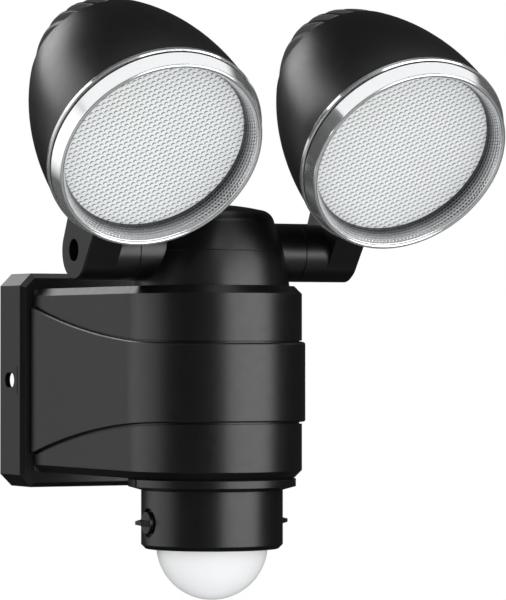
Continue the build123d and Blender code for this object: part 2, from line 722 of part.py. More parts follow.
def place_head(piece, tilt=HEAD_TILT):
    """Tilt a level head piece about the arms' axis and lift it to the turret."""
    return Pos(0, -AXIS_REACH, SHAFT_Z) * Rot(X=tilt) * piece


def head_turned(side, edges):
    """Solid of revolution about a head's axis, from edges given as (radius, distance behind the rim)."""
    return Pos(side * HEAD_X, -RIM_FORWARD, HEAD_RISE) * revolve(make_face(edges), Axis.Y)


def egg_arc(radius, length, start, end):
    """Quarter-ellipse profile of a head's hollow between two distances behind the rim."""
    angles = [degrees(asin(distance / length)) for distance in (start, end)]
    return EllipticalCenterArc((0, 0), radius, length, angles[0], arc_size=angles[1] - angles[0])


def egg_radius(radius, length, distance):
    """Radius of that profile at a distance behind the rim."""
    return radius * sqrt(1 - (distance / length) ** 2)


def shell_side_arc():
    """Radius of the shell's side arc, and the angle at which it runs into the round rear cap."""
    cap_middle = SHELL_LENGTH - SHELL_CAP_R
    side_r = (SHELL_R ** 2 + cap_middle ** 2 - SHELL_CAP_R ** 2) / (2 * (SHELL_R - SHELL_CAP_R))
    return side_r, atan2(cap_middle, side_r - SHELL_R)


def shell_distance(radius):
    """How far behind the rim the shell's outside has shrunk to a radius."""
    side_r, turn = shell_side_arc()
    if radius < SHELL_CAP_R * cos(turn):
        return SHELL_LENGTH - SHELL_CAP_R + sqrt(SHELL_CAP_R ** 2 - radius ** 2)
    return sqrt(side_r ** 2 - (radius - SHELL_R + side_r) ** 2)


def shell_outside(side):
    """Egg-shaped outside of a head: a long side arc that runs into a round rear cap."""
    side_r, turn = shell_side_arc()
    centre = SHELL_R - side_r
    joint = (centre + side_r * cos(turn), side_r * sin(turn))
    half_way = (centre + side_r * cos(turn / 2), side_r * sin(turn / 2))
    cap_turn = (turn + pi / 2) / 2
    cap = (SHELL_CAP_R * cos(cap_turn), SHELL_LENGTH - SHELL_CAP_R + SHELL_CAP_R * sin(cap_turn))
    pole = (0, SHELL_LENGTH)
    return head_turned(side, [
        Line((0, 0), (SHELL_R, 0)),
        ThreePointArc((SHELL_R, 0), half_way, joint),
        ThreePointArc(joint, cap, pole),
        Line(pole, (0, 0)),
    ])


def shell_inside(side):
    """Hollow of a head: lens bore, seal shelf, egg-shaped space and a flat pad for the heat sink."""
    shelf_end = SHELF_FRONT + SHELF_THICK
    wide = egg_radius(SHELL_BORE_R, CAVITY_LENGTH, shelf_end)
    return head_turned(side, [
        Line((0, 0), (SHELL_BORE_R, 0)),
        Line((SHELL_BORE_R, 0), (SHELL_BORE_R, SHELF_FRONT)),
        Line((SHELL_BORE_R, SHELF_FRONT), (SHELF_R, SHELF_FRONT)),
        Line((SHELF_R, SHELF_FRONT), (SHELF_R, shelf_end)),
        Line((SHELF_R, shelf_end), (wide, shelf_end)),
        egg_arc(SHELL_BORE_R, CAVITY_LENGTH, shelf_end, pad_distance()),
        Line((SINK_PAD_R, pad_distance()), (0, pad_distance())),
        Line((0, pad_distance()), (0, 0)),
    ])


def pad_distance():
    """How far behind the rim the heat sink's pad lies."""
    return CAVITY_LENGTH * sqrt(1 - (SINK_PAD_R / SHELL_BORE_R) ** 2)


def fin_grooves(side):
    """Space between the upright cooling fins in the rear of a head, which runs out on a circle about its axis."""
    edge = shell_distance(FIN_CIRCLE_R)
    floor = SHELL_LENGTH - FIN_DEPTH
    sag = floor - edge
    floor_r = (FIN_CIRCLE_R ** 2 + sag ** 2) / (2 * sag)
    half_r = FIN_CIRCLE_R / 2
    half_way = floor - floor_r + sqrt(floor_r ** 2 - half_r ** 2)
    behind = SHELL_LENGTH + FIN_DEPTH
    space = head_turned(side, [
        ThreePointArc((FIN_CIRCLE_R, edge), (half_r, half_way), (0, floor)),
        Line((0, floor), (0, behind)),
        Line((0, behind), (FIN_CIRCLE_R, behind)),
        Line((FIN_CIRCLE_R, behind), (FIN_CIRCLE_R, edge)),
    ])
    deep = (-SHELL_LENGTH, 2 * SHELL_LENGTH)
    tall = (HEAD_RISE - SHELL_R, HEAD_RISE + SHELL_R)
    for i in range(-FINS_EACH_SIDE, FINS_EACH_SIDE + 1):
        x = side * HEAD_X + i * FIN_PITCH
        space -= block((x - FIN_THICK / 2, x + FIN_THICK / 2), deep, tall)
    return space


def ear_form(side):
    """Outline of the knuckle ring and of the slab that spreads towards the shell."""
    axis = (side, 0, 0)
    ring = rod((side * KNUCKLE_X, 0, 0), axis, ARM_R, KNUCKLE_WIDTH + EAR_WIDTH)
    ring = chamfer(ring.edges().group_by(Axis.X)[0 if side < 0 else -1], EAR_EDGE)
    wide = ARM_R + EAR_SPREAD
    side_face = make_face(outline([(-ARM_R, 0), (ARM_R, 0), (wide, HEAD_RISE / 2), (-wide, HEAD_RISE / 2)]))
    start = Plane(origin=(side * EAR_X, 0, 0), x_dir=(0, 1, 0), z_dir=(1, 0, 0))
    slab = extrude(start * side_face, side * EAR_WIDTH)
    end_edges = [
        edge for edge in slab.faces().sort_by(Axis.X)[0 if side < 0 else -1].edges()
        if 0 < edge.center().Z < HEAD_RISE / 2
    ]
    return ring + chamfer(end_edges, EAR_EDGE)


def head_shell(side):
    """Moulded head shell, hollow, with cooling fins at its rear."""
    return place_head(shell_outside(side) - shell_inside(side) - fin_grooves(side))


def head_ear(side):
    """Ear that carries a head: it fits the shell's underside, and its knuckle turns on the arm stub."""
    axis = (side, 0, 0)
    made = ear_form(side)
    made -= rod((side * KNUCKLE_X, 0, 0), axis, SPIGOT_R + FIT, SPIGOT_END_X + RUN_GAP - KNUCKLE_X)
    made -= rod((side * KNUCKLE_X, 0, 0), axis, PIVOT_SCREW_R + RUN_GAP, KNUCKLE_WIDTH + EAR_WIDTH)
    made -= rod((side * PIVOT_SEAT_X, 0, 0), axis, PIVOT_RECESS_R, EAR_END_X - PIVOT_SEAT_X)
    return place_head(made, EAR_TILT) - place_head(shell_outside(side))


def head_bezel(side):
    """Bright bezel: flange with a fine groove behind a tapering ring, and a pocket that holds the lens."""
    groove_r = BEZEL_R - BEZEL_GROOVE_DEPTH
    flange_front = -BEZEL_FLANGE
    ring_back = flange_front - BEZEL_GROOVE
    ring_r = BEZEL_R - BEZEL_EDGE * 2
    lip_back = BEZEL_LIP_WIDTH / 2 - BEZEL_FRONT
    lip_in = BEZEL_LIP_R - BEZEL_LIP_WIDTH
    pocket_r = SHELL_BORE_R - RUN_GAP
    edges = [
        Line((pocket_r, 0), (BEZEL_R - BEZEL_EDGE, 0)),
        Line((BEZEL_R - BEZEL_EDGE, 0), (BEZEL_R, -BEZEL_EDGE)),
        Line((BEZEL_R, -BEZEL_EDGE), (BEZEL_R, flange_front + BEZEL_EDGE)),
        Line((BEZEL_R, flange_front + BEZEL_EDGE), (BEZEL_R - BEZEL_EDGE, flange_front)),
        Line((BEZEL_R - BEZEL_EDGE, flange_front), (groove_r, flange_front)),
        Line((groove_r, flange_front), (groove_r, ring_back)),
        Line((groove_r, ring_back), (ring_r, ring_back)),
        Line((ring_r, ring_back), (BEZEL_LIP_R, lip_back)),
        ThreePointArc(
            (BEZEL_LIP_R, lip_back),
            (BEZEL_LIP_R - BEZEL_LIP_WIDTH / 2, -BEZEL_FRONT),
            (lip_in, lip_back),
        ),
        Line((lip_in, lip_back), (LENS_WINDOW_R, -LENS_LEAD)),
        Line((LENS_WINDOW_R, -LENS_LEAD), (pocket_r, -LENS_LEAD)),
        Line((pocket_r, -LENS_LEAD), (pocket_r, 0)),
    ]
    return place_head(head_turned(side, edges))


def head_ring(side, inner_r, outer_r, front, back):
    """Flat ring or disc about a head's axis, between two distances behind the rim."""
    points = [(inner_r, front), (outer_r, front), (outer_r, back), (inner_r, back)]
    return head_turned(side, outline(points))


def head_lens(side):
    """Clear lens disc in the bezel's pocket."""
    return place_head(head_ring(side, 0, SHELL_BORE_R - LENS_FIT, -LENS_LEAD, LENS_BACK))


def lens_seal(side):
    """Seal between the lens and the shell's shelf."""
    outer_r = SHELL_BORE_R - LENS_FIT
    return place_head(head_ring(side, outer_r - LENS_SEAL_WIDTH, outer_r, LENS_BACK, SHELF_FRONT))


def head_reflector(side):
    """Thin parabolic cup, open at its mouth for the light source."""
    rim_r = SHELF_R - RUN_GAP
    inner_r = rim_r - REFLECTOR_WALL
    focus_run = inner_r ** 2 - REFLECTOR_MOUTH_R ** 2
    tip = (inner_r + REFLECTOR_MOUTH_R) / 2
    steer_run = REFLECTOR_DEPTH * (inner_r ** 2 - inner_r * REFLECTOR_MOUTH_R) / focus_run
    steer = REFLECTOR_FRONT + steer_run
    inside = Bezier((inner_r, REFLECTOR_FRONT), (tip, steer), (REFLECTOR_MOUTH_R, REFLECTOR_END))
    mouth_out = REFLECTOR_MOUTH_R + REFLECTOR_WALL
    outside = Bezier(
        (mouth_out, REFLECTOR_END), (tip + REFLECTOR_WALL, steer), (rim_r, REFLECTOR_FRONT)
    )
    edges = [
        inside,
        Line((REFLECTOR_MOUTH_R, REFLECTOR_END), (mouth_out, REFLECTOR_END)),
        outside,
        Line((rim_r, REFLECTOR_FRONT), (inner_r, REFLECTOR_FRONT)),
    ]
    return place_head(head_turned(side, edges))


def led_board(side):
    """Round metal-core board that carries the light source."""
    return place_head(head_ring(side, 0, LED_BOARD_R, LED_BOARD_FRONT, SINK_FRONT))


def led_source(side):
    """Round light source in the reflector's mouth."""
    return place_head(head_ring(side, 0, LED_R, LED_BOARD_FRONT - LED_THICK, LED_BOARD_FRONT))


def heat_sink(side):
    """Heat sink between the light source's board and the shell's rear pad, with radial fins."""
    base_end = SINK_FRONT + SINK_BASE_THICK
    sink = head_ring(side, 0, LED_BOARD_R, SINK_FRONT, base_end)
    sink += head_ring(side, 0, SINK_CORE_R, base_end, pad_distance())
    fin_r = SINK_PAD_R - RUN_GAP
    for i in range(SINK_FIN_COUNT // 2):
        fin = Box(2 * fin_r, pad_distance() - base_end, SINK_FIN_THICK)
        turn = Rot(Y=360 / SINK_FIN_COUNT * i)
        middle = Pos(side * HEAD_X, (base_end + pad_distance()) / 2 - RIM_FORWARD, HEAD_RISE)
        sink += middle * turn * fin
    return place_head(sink)


# Motion sensor

def sensor_housing():
    """Flange and collar under the body, with knob pockets, a board ledge and the dome's lip."""
    edges = outline([
        (COLLAR_BORE_R, FLANGE_TOP),
        (FLANGE_R, FLANGE_TOP),
        (FLANGE_R, FLANGE_TOP - FLANGE_EDGE),
        (COLLAR_R, COLLAR_TOP),
        (COLLAR_R, COLLAR_BOTTOM + COLLAR_CHAMFER),
        (COLLAR_R - COLLAR_CHAMFER, COLLAR_BOTTOM),
        (DOME_R + DOME_FIT, COLLAR_BOTTOM),
        (DOME_R + DOME_FIT, COLLAR_BOTTOM + COLLAR_LIP),
        (COLLAR_BORE_R, COLLAR_BOTTOM + COLLAR_LIP),
    ])
    housing = upright_turned(edges)
    ledge_top = SENSOR_BOARD_TOP - BOARD_THICK
    ledge_r = COLLAR_BORE_R - LEDGE_WIDTH
    housing += upright_turned(outline([
        (ledge_r, ledge_top - LEDGE_THICK),
        (COLLAR_BORE_R + COLLAR_WALL / 2, ledge_top - LEDGE_THICK),
        (COLLAR_BORE_R + COLLAR_WALL / 2, ledge_top),
        (ledge_r, ledge_top),
    ]))
    for side in SIDES.values():
        axis = (side, 0, 0)
        boss_length = COLLAR_R - COLLAR_WALL / 2 - POT_FACE_X
        housing += rod(on_axis(side * POT_FACE_X, 0, KNOB_Z), axis, KNOB_BOSS_R, boss_length)
        housing -= rod(on_axis(side * POCKET_FLOOR_X, 0, KNOB_Z), axis, KNOB_POCKET_R, COLLAR_R)
        housing -= rod(on_axis(side * POT_FACE_X, 0, KNOB_Z), axis, KNOB_STEM_R + FIT, KNOB_BOSS_DEPTH)
        notch = Box(2 * FLANGE_NOTCH_DEPTH, FLANGE_NOTCH_WIDTH, 2 * FLANGE_EDGE)
        housing -= Pos(*on_axis(side * FLANGE_R, 0, FLANGE_TOP)) * notch
    for x, y, _ in sensor_screw_seats():
        housing -= rod((x, y, FLANGE_TOP), (0, 0, -1), SMALL_SCREW_R + FIT, FLANGE_SCREW_GRIP + RUN_GAP)
    return housing


def sensor_seal():
    """Flat seal between the body's floor and the sensor flange."""
    inner_r = COLLAR_BORE_R
    outer_r = (FLANGE_R + COLLAR_R) / 2
    seal = upright_turned(outline([
        (inner_r, FLANGE_TOP), (outer_r, FLANGE_TOP), (outer_r, -BODY_HALF_H), (inner_r, -BODY_HALF_H),
    ]))
    for x, y, _ in sensor_screw_seats():
        seal -= rod((x, y, FLANGE_TOP), (0, 0, 1), SMALL_SCREW_R + FIT, SENSOR_SEAL)
    return seal


def sensor_screws():
    """Screws from inside the body into the sensor flange."""
    length = BODY_WALL + SENSOR_SEAL + FLANGE_SCREW_GRIP
    return Part() + [screw(seat, (0, 0, -1), SMALL_SCREW_R, length) for seat in sensor_screw_seats()]


def sensor_dome():
    """Hollow dome lens with a short skirt and a flange above the collar's lip."""
    centre = COLLAR_BOTTOM - DOME_DROP + DOME_R
    flange_low = COLLAR_BOTTOM + COLLAR_LIP
    flange_top = flange_low + DOME_FLANGE_THICK
    flange_r = DOME_R + DOME_FLANGE
    inner_r = DOME_R - DOME_WALL
    slant = sqrt(0.5)
    return upright_turned([
        ThreePointArc((0, centre - DOME_R), (DOME_R * slant, centre - DOME_R * slant), (DOME_R, centre)),
        Line((DOME_R, centre), (DOME_R, flange_low)),
        Line((DOME_R, flange_low), (flange_r, flange_low)),
        Line((flange_r, flange_low), (flange_r, flange_top)),
        Line((flange_r, flange_top), (inner_r, flange_top)),
        Line((inner_r, flange_top), (inner_r, centre)),
        ThreePointArc((inner_r, centre), (inner_r * slant, centre - inner_r * slant), (0, centre - inner_r)),
        Line((0, centre - inner_r), (0, centre - DOME_R)),
    ])


def dome_retainer():
    """Ring that presses the dome's flange down on the collar's lip."""
    low = COLLAR_BOTTOM + COLLAR_LIP + DOME_FLANGE_THICK
    outer_r = COLLAR_BORE_R - RUN_GAP
    inner_r = outer_r - RETAINER_WIDTH
    high = low + RETAINER_THICK
    return upright_turned(outline([(inner_r, low), (outer_r, low), (outer_r, high), (inner_r, high)]))


def sensor_board():
    """Round board on the collar's ledge, with a hole for its wires."""
    low = SENSOR_BOARD_TOP - BOARD_THICK
    board = rod(on_axis(0, 0, low), (0, 0, 1), COLLAR_BORE_R - RUN_GAP, BOARD_THICK)
    return board - rod(on_axis(0, COLLAR_BORE_R / 2, low), (0, 0, 1), SENSOR_WIRE_HOLE_R, BOARD_THICK)


def pir_sensor():
    """Heat sensor can under the middle of the board, with its rim."""
    top = SENSOR_BOARD_TOP - BOARD_THICK
    can = rod(on_axis(0, 0, top - PIR_H), (0, 0, 1), PIR_CAN_R, PIR_H)
    return can + rod(on_axis(0, 0, top - PIR_RIM_H), (0, 0, 1), PIR_RIM_R, PIR_RIM_H)


def potentiometers():
    """Two adjusters behind the knobs, soldered under the board."""
    made = []
    board_under = SENSOR_BOARD_TOP - BOARD_THICK
    for side in SIDES.values():
        ends = sorted((side * POT_FACE_X, side * (POT_FACE_X - POT_DEPTH)))
        width = (-AXIS_REACH - POT_SIZE / 2, -AXIS_REACH + POT_SIZE / 2)
        pot = block(ends, width, (KNOB_Z - POT_SIZE / 2, board_under))
        stem = rod(on_axis(side * POT_FACE_X, 0, KNOB_Z), (-side, 0, 0), KNOB_STEM_R + FIT, POT_DEPTH)
        made.append(pot - stem)
    return Part() + made


def knob(side):
    """Adjusting knob: disc in its pocket, tapering bar to turn it by, and a stem into the adjuster."""
    axis = (side, 0, 0)
    disc_x = POCKET_FLOOR_X + RUN_GAP
    front_x = disc_x + KNOB_DISC
    disc = rod(on_axis(side * disc_x, 0, KNOB_Z), axis, KNOB_R, KNOB_DISC)
    foot = Plane(origin=on_axis(side * front_x, 0, KNOB_Z), x_dir=(0, 1, 0), z_dir=axis)
    tip = Plane(origin=on_axis(side * KNOB_REACH, 0, KNOB_Z), x_dir=(0, 1, 0), z_dir=axis)
    long_side = 2 * sqrt(KNOB_R ** 2 - (KNOB_BAR / 2) ** 2) - 2 * RUN_GAP
    bar = loft([foot * Rectangle(long_side, KNOB_BAR), tip * Rectangle(long_side - KNOB_BAR, KNOB_BAR_TIP)])
    stem = rod(on_axis(side * disc_x, 0, KNOB_Z), (-side, 0, 0), KNOB_STEM_R, KNOB_BOSS_DEPTH + POT_DEPTH)
    return disc + bar + stem


def all_pieces():
    """Every node of the floodlight by name."""
    lower, upper = turret_halves()
    pieces = {
        "wall_bracket": wall_bracket(),
        "back_box": back_box(),
        "case_screws": case_screws(),
        "body_seal": body_seal(),
        "body_housing": body_housing(),
        "battery_tray": battery_tray(),
        "batteries": batteries(),
        "front_contacts": front_contacts(),
        "door_contacts": door_contacts(),
        "battery_door": battery_door(),
        "door_screws": door_screws(),
        "control_board": control_board(),
        "control_board_screws": control_board_screws(),
        "turret_lower": lower,
        "turret_upper": upper,
        "turret_clamp_screws": turret_clamp_screws(),
        "turret_screws": turret_screws(),
        "pivot_screws": pivot_screws(),
        "pivot_washers": pivot_washers(),
        "sensor_housing": sensor_housing(),
        "sensor_seal": sensor_seal(),
        "sensor_screws": sensor_screws(),
        "sensor_dome": sensor_dome(),
        "dome_retainer": dome_retainer(),
        "sensor_board": sensor_board(),
        "pir_sensor": pir_sensor(),
        "potentiometers": potentiometers(),
    }
    for name, side in SIDES.items():
        pieces[f"{name}_arm_stub"] = arm_stub(side)
        pieces[f"{name}_head_shell"] = head_shell(side)
        pieces[f"{name}_head_ear"] = head_ear(side)
        pieces[f"{name}_bezel"] = head_bezel(side)
        pieces[f"{name}_lens"] = head_lens(side)
        pieces[f"{name}_lens_seal"] = lens_seal(side)
        pieces[f"{name}_reflector"] = head_reflector(side)
        pieces[f"{name}_led_board"] = led_board(side)
        pieces[f"{name}_led"] = led_source(side)
        pieces[f"{name}_heat_sink"] = heat_sink(side)
        pieces[f"{name}_knob"] = knob(side)
    return pieces


os.makedirs("parts", exist_ok=True)
for node, piece in all_pieces().items():
    export_step(piece, f"parts/{node}.step")
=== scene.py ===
"""Looks of a wall floodlight with two lamp heads and a motion sensor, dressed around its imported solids.

Everything is in metres, in the frame of the solids: the wall is the plane y = 0, +z is up and the light
faces -y.
"""

import logging
from dataclasses import dataclass
from enum import Enum
from math import atan2, cos, pi, radians, sin, sqrt

import bpy
import numpy as np
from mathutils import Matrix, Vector


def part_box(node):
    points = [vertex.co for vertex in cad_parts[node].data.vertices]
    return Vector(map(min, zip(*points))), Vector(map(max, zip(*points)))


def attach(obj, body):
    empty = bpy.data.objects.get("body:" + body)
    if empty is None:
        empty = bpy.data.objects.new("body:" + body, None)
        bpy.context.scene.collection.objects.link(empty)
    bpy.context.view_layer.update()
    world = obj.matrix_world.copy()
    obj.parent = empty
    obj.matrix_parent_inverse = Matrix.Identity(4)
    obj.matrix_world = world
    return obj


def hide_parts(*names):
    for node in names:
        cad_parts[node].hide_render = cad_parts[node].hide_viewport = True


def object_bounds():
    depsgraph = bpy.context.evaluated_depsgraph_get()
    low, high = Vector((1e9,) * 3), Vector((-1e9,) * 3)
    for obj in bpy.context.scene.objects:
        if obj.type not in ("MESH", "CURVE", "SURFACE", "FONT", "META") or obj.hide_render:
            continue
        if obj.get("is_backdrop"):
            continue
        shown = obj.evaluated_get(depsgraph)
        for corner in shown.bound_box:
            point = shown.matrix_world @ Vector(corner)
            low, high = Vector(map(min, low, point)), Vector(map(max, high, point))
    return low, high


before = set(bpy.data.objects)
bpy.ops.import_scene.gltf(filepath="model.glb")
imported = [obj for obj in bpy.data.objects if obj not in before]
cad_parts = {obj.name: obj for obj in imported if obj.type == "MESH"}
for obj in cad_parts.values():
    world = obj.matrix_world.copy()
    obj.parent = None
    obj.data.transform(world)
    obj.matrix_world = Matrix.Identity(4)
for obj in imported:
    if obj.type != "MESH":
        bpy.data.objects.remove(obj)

LOG = logging.getLogger("floodlight")
Colour = tuple[float, float, float]
Point = tuple[float, float, float]
Span = tuple[float, float]
Socket = bpy.types.NodeSocket
ACROSS = np.array((1.0, 0.0, 0.0))

# Cell of a triangular lattice in pitches, and where its second point lies
CELL_SHAPE = (sqrt(3.0), 1.0)
HALF_CELL = 0.5

# Noise of every finish: feature sizes, and numbers of finer layers
DRIFT_FEATURE = 0.035
RUB_FEATURE = 0.006
GLOSS_FEATURE = 0.004
COARSE_LAYERS = 4.0
FINE_LAYERS = 2.0
EVEN = (1.0, 1.0, 1.0)
BRUSH_STRETCH = (1.0, 1.0, 14.0)

# Rubbed edges: how far two normals agree where an edge starts and is full, and the noise that breaks it up
EDGE_AGREE = (0.98, 0.86)
EDGE_SAMPLES = 4
RUB_NOISE = (0.35, 0.7)
RUB_SHARE = (0.15, 0.8)

# Painted shade in grooves: how open they are where the painted shade starts and is full
GROOVE_OPEN = (0.85, 0.55)
GROOVE_SAMPLES = 6
GROOVE_SHADE_COLOUR = (0.004, 0.004, 0.004)


class Side(Enum):
    """Which of the two lamp heads or knobs is meant."""

    LEFT = "left"
    RIGHT = "right"

    def node(self, piece: str) -> str:
        """Name of this side's solid of a piece."""
        return f"{self.value}_{piece}"


class Grain(Enum):
    """How the skin of a finish is textured: feature size and bump depth."""

    NONE = (0.001, 0.0)
    SPARK = (0.00045, 0.000012)
    SATIN = (0.0003, 0.000004)
    BRUSHED = (0.0006, 0.000006)
    PEBBLE = (0.0012, 0.00003)


class Skins(Enum):
    """Which surfaces a lamp lights."""

    ALL = "all"
    SHINY = "shiny"
    DULL = "dull"


class Recipe:
    """A node tree that is filled in step by step."""

    def __init__(self, tree: bpy.types.NodeTree) -> None:
        """Start from an empty tree.

        Args:
            tree: the node tree of a material or world.
        """
        self.tree = tree
        tree.nodes.clear()

    def node(self, kind: str, **settings: object) -> bpy.types.Node:
        """Add a node.

        Args:
            kind: node type without its ShaderNode prefix.
            settings: attributes to set on the node.

        Returns:
            The new node.
        """
        made = self.tree.nodes.new("ShaderNode" + kind)
        for name, value in settings.items():
            setattr(made, name, value)
        return made

    def feed(self, socket: Socket, value: object) -> None:
        """Link a socket to an output, or set its constant.

        Args:
            socket: the input socket.
            value: an output socket, or the constant.
        """
        if isinstance(value, Socket):
            self.tree.links.new(value, socket)
        else:
            socket.default_value = value

    def math(self, operation: str, first: object, second: object = 0.0, third: object = 0.0) -> Socket:
        """Arithmetic on up to three numbers.

        Args:
            operation: name of the operation.
            first: socket or number.
            second: socket or number.
            third: socket or number.

        Returns:
            The result's socket.
        """
        made = self.node("Math", operation=operation)
        for socket, value in zip(made.inputs, (first, second, third)):
            self.feed(socket, value)
        return made.outputs[0]

    def vector(self, operation: str, first: object, second: object = (0.0, 0.0, 0.0)) -> Socket:
        """Arithmetic on two vectors.

        Args:
            operation: name of the operation.
            first: socket or vector.
            second: socket or vector.

        Returns:
            The result's socket.
        """
        made = self.node("VectorMath", operation=operation)
        self.feed(made.inputs[0], first)
        self.feed(made.inputs[1], second)
        return next(socket for socket in made.outputs if socket.enabled)

    def ramp(self, value: object, low: float, high: float, start: float = 0.0, end: float = 1.0) -> Socket:
        """Map a number smoothly from one span to another.

        Args:
            value: socket with the number.
            low: value that gives start.
            high: value that gives end.
            start: result at low.
            end: result at high.

        Returns:
            The result's socket.
        """
        made = self.node("MapRange", interpolation_type="SMOOTHSTEP")
        names = ("Value", "From Min", "From Max", "To Min", "To Max")
        for name, number in zip(names, (value, low, high, start, end)):
            self.feed(made.inputs[name], number)
        return made.outputs["Result"]

    def mix(self, share: object, first: object, second: object) -> Socket:
        """Mix two colours.

        Args:
            share: socket or number, 0 for the first and 1 for the second.
            first: colour or socket.
            second: colour or socket.

        Returns:
            The mixed colour's socket.
        """
        made = self.node("Mix", data_type="RGBA")
        self.feed(made.inputs["Factor"], share)
        colours = [socket for socket in made.inputs if socket.type == "RGBA"]
        for socket, value in zip(colours, (first, second)):
            self.feed(socket, (*value, 1.0) if isinstance(value, tuple) else value)
        return next(socket for socket in made.outputs if socket.type == "RGBA")

    def noise(self, feature: float, layers: float, stretch: Point = EVEN) -> Socket:
        """Noise on the piece's own coordinates.

        Args:
            feature: size of its features.
            layers: number of finer layers.
            stretch: factors on the coordinates along each axis.

        Returns:
            The noise's value socket.
        """
        place = self.node("TexCoord")
        turn = self.node("Mapping")
        self.feed(turn.inputs["Vector"], place.outputs["Object"])
        self.feed(turn.inputs["Scale"], stretch)
        made = self.node("TexNoise")
        self.feed(made.inputs["Vector"], turn.outputs["Vector"])
        self.feed(made.inputs["Scale"], 1.0 / feature)
        self.feed(made.inputs["Detail"], layers)
        return made.outputs["Fac"]


@dataclass(frozen=True)
class Finish:
    """A surface finish: colour with a slow drift, uneven gloss, a grained skin and softened edges.

    The drift and the gloss follow broad noise, the skin is a bump of fine noise, and edges are found by
    comparing the true normal with one that is rounded over edge_radius. Where a reach for groove shade is
    given, grooves narrower than that are darkened with painted shade.
    """

    name: str
    colour: Colour
    roughness: float
    drift: float = 0.15
    gloss_spread: float = 0.05
    grain: Grain = Grain.SATIN
    edge_radius: float = 0.0004
    edge_colour: Colour | None = None
    metallic: float = 0.0
    specular: float = 0.5
    # reach of the painted shade in grooves, found by ambient occlusion; 0 for none
    groove_shade_reach: float = 0.0

    def material(self) -> bpy.types.Material:
        """The finish as a node material."""
        made = bpy.data.materials.new(self.name)
        made.use_nodes = True
        recipe = Recipe(made.node_tree)
        shader = recipe.node("BsdfPrincipled")
        self.dress(recipe, shader)
        out = recipe.node("OutputMaterial")
        recipe.feed(out.inputs["Surface"], shader.outputs["BSDF"])
        return made

    def dress(self, recipe: Recipe, shader: bpy.types.Node) -> None:
        """Fill in the shader's sockets.

        Args:
            recipe: the material's node tree.
            shader: its shader node.
        """
        shader.inputs["Metallic"].default_value = self.metallic
        shader.inputs["Specular IOR Level"].default_value = self.specular
        normal = self.rounded(recipe)
        recipe.feed(shader.inputs["Base Color"], self.tint(recipe, normal))
        uneven = recipe.noise(GLOSS_FEATURE, FINE_LAYERS)
        smoothest = self.roughness - self.gloss_spread
        roughness = recipe.math("MULTIPLY_ADD", uneven, 2.0 * self.gloss_spread, smoothest)
        recipe.feed(shader.inputs["Roughness"], roughness)
        recipe.feed(shader.inputs["Normal"], self.skin(recipe, normal))

    def tint(self, recipe: Recipe, normal: Socket) -> Socket:
        """Colour with its drift, rubbed edges and painted shade in grooves.

        Args:
            recipe: the material's node tree.
            normal: the rounded normal.

        Returns:
            The colour's socket.
        """
        dim = tuple(channel * (1.0 - self.drift) for channel in self.colour)
        lit = tuple(min(1.0, channel * (1.0 + self.drift)) for channel in self.colour)
        colour = recipe.mix(recipe.noise(DRIFT_FEATURE, COARSE_LAYERS), dim, lit)
        if self.edge_colour is not None:
            colour = recipe.mix(self.edges(recipe, normal), colour, self.edge_colour)
        # painted shade: narrow grooves are darkened by ambient occlusion
        if self.groove_shade_reach:
            colour = recipe.mix(self.groove_shade(recipe), colour, GROOVE_SHADE_COLOUR)
        return colour

    def rounded(self, recipe: Recipe) -> Socket:
        """Normal with the edges rounded over edge_radius."""
        made = recipe.node("Bevel", samples=EDGE_SAMPLES)
        made.inputs["Radius"].default_value = self.edge_radius
        return made.outputs["Normal"]

    def edges(self, recipe: Recipe, normal: Socket) -> Socket:
        """Share of rubbed edge, broken up by noise.

        Args:
            recipe: the material's node tree.
            normal: the rounded normal.

        Returns:
            The share's socket: 0 on a flat, up to 1 on an edge.
        """
        geometry = recipe.node("NewGeometry")
        agree = recipe.vector("DOT_PRODUCT", normal, geometry.outputs["Normal"])
        bent = recipe.ramp(agree, *EDGE_AGREE)
        patchy = recipe.ramp(recipe.noise(RUB_FEATURE, COARSE_LAYERS), *RUB_NOISE, *RUB_SHARE)
        return recipe.math("MULTIPLY", bent, patchy)

    def groove_shade(self, recipe: Recipe) -> Socket:
        """Share of painted shade: 0 in the open, up to 1 in a narrow groove."""
        made = recipe.node("AmbientOcclusion", samples=GROOVE_SAMPLES, only_local=True)
        made.inputs["Distance"].default_value = self.groove_shade_reach
        return recipe.ramp(made.outputs["AO"], *GROOVE_OPEN)

    def skin(self, recipe: Recipe, normal: Socket) -> Socket:
        """Grain of the skin as a bump on a normal.

        Args:
            recipe: the material's node tree.
            normal: the normal that the grain lies on.

        Returns:
            The bumped normal's socket.
        """
        feature, depth = self.grain.value
        stretch = BRUSH_STRETCH if self.grain is Grain.BRUSHED else EVEN
        bump = recipe.node("Bump")
        recipe.feed(bump.inputs["Height"], recipe.noise(feature, FINE_LAYERS, stretch))
        bump.inputs["Strength"].default_value = 1.0 if depth else 0.0
        bump.inputs["Distance"].default_value = depth
        recipe.feed(bump.inputs["Normal"], normal)
        return bump.outputs["Normal"]


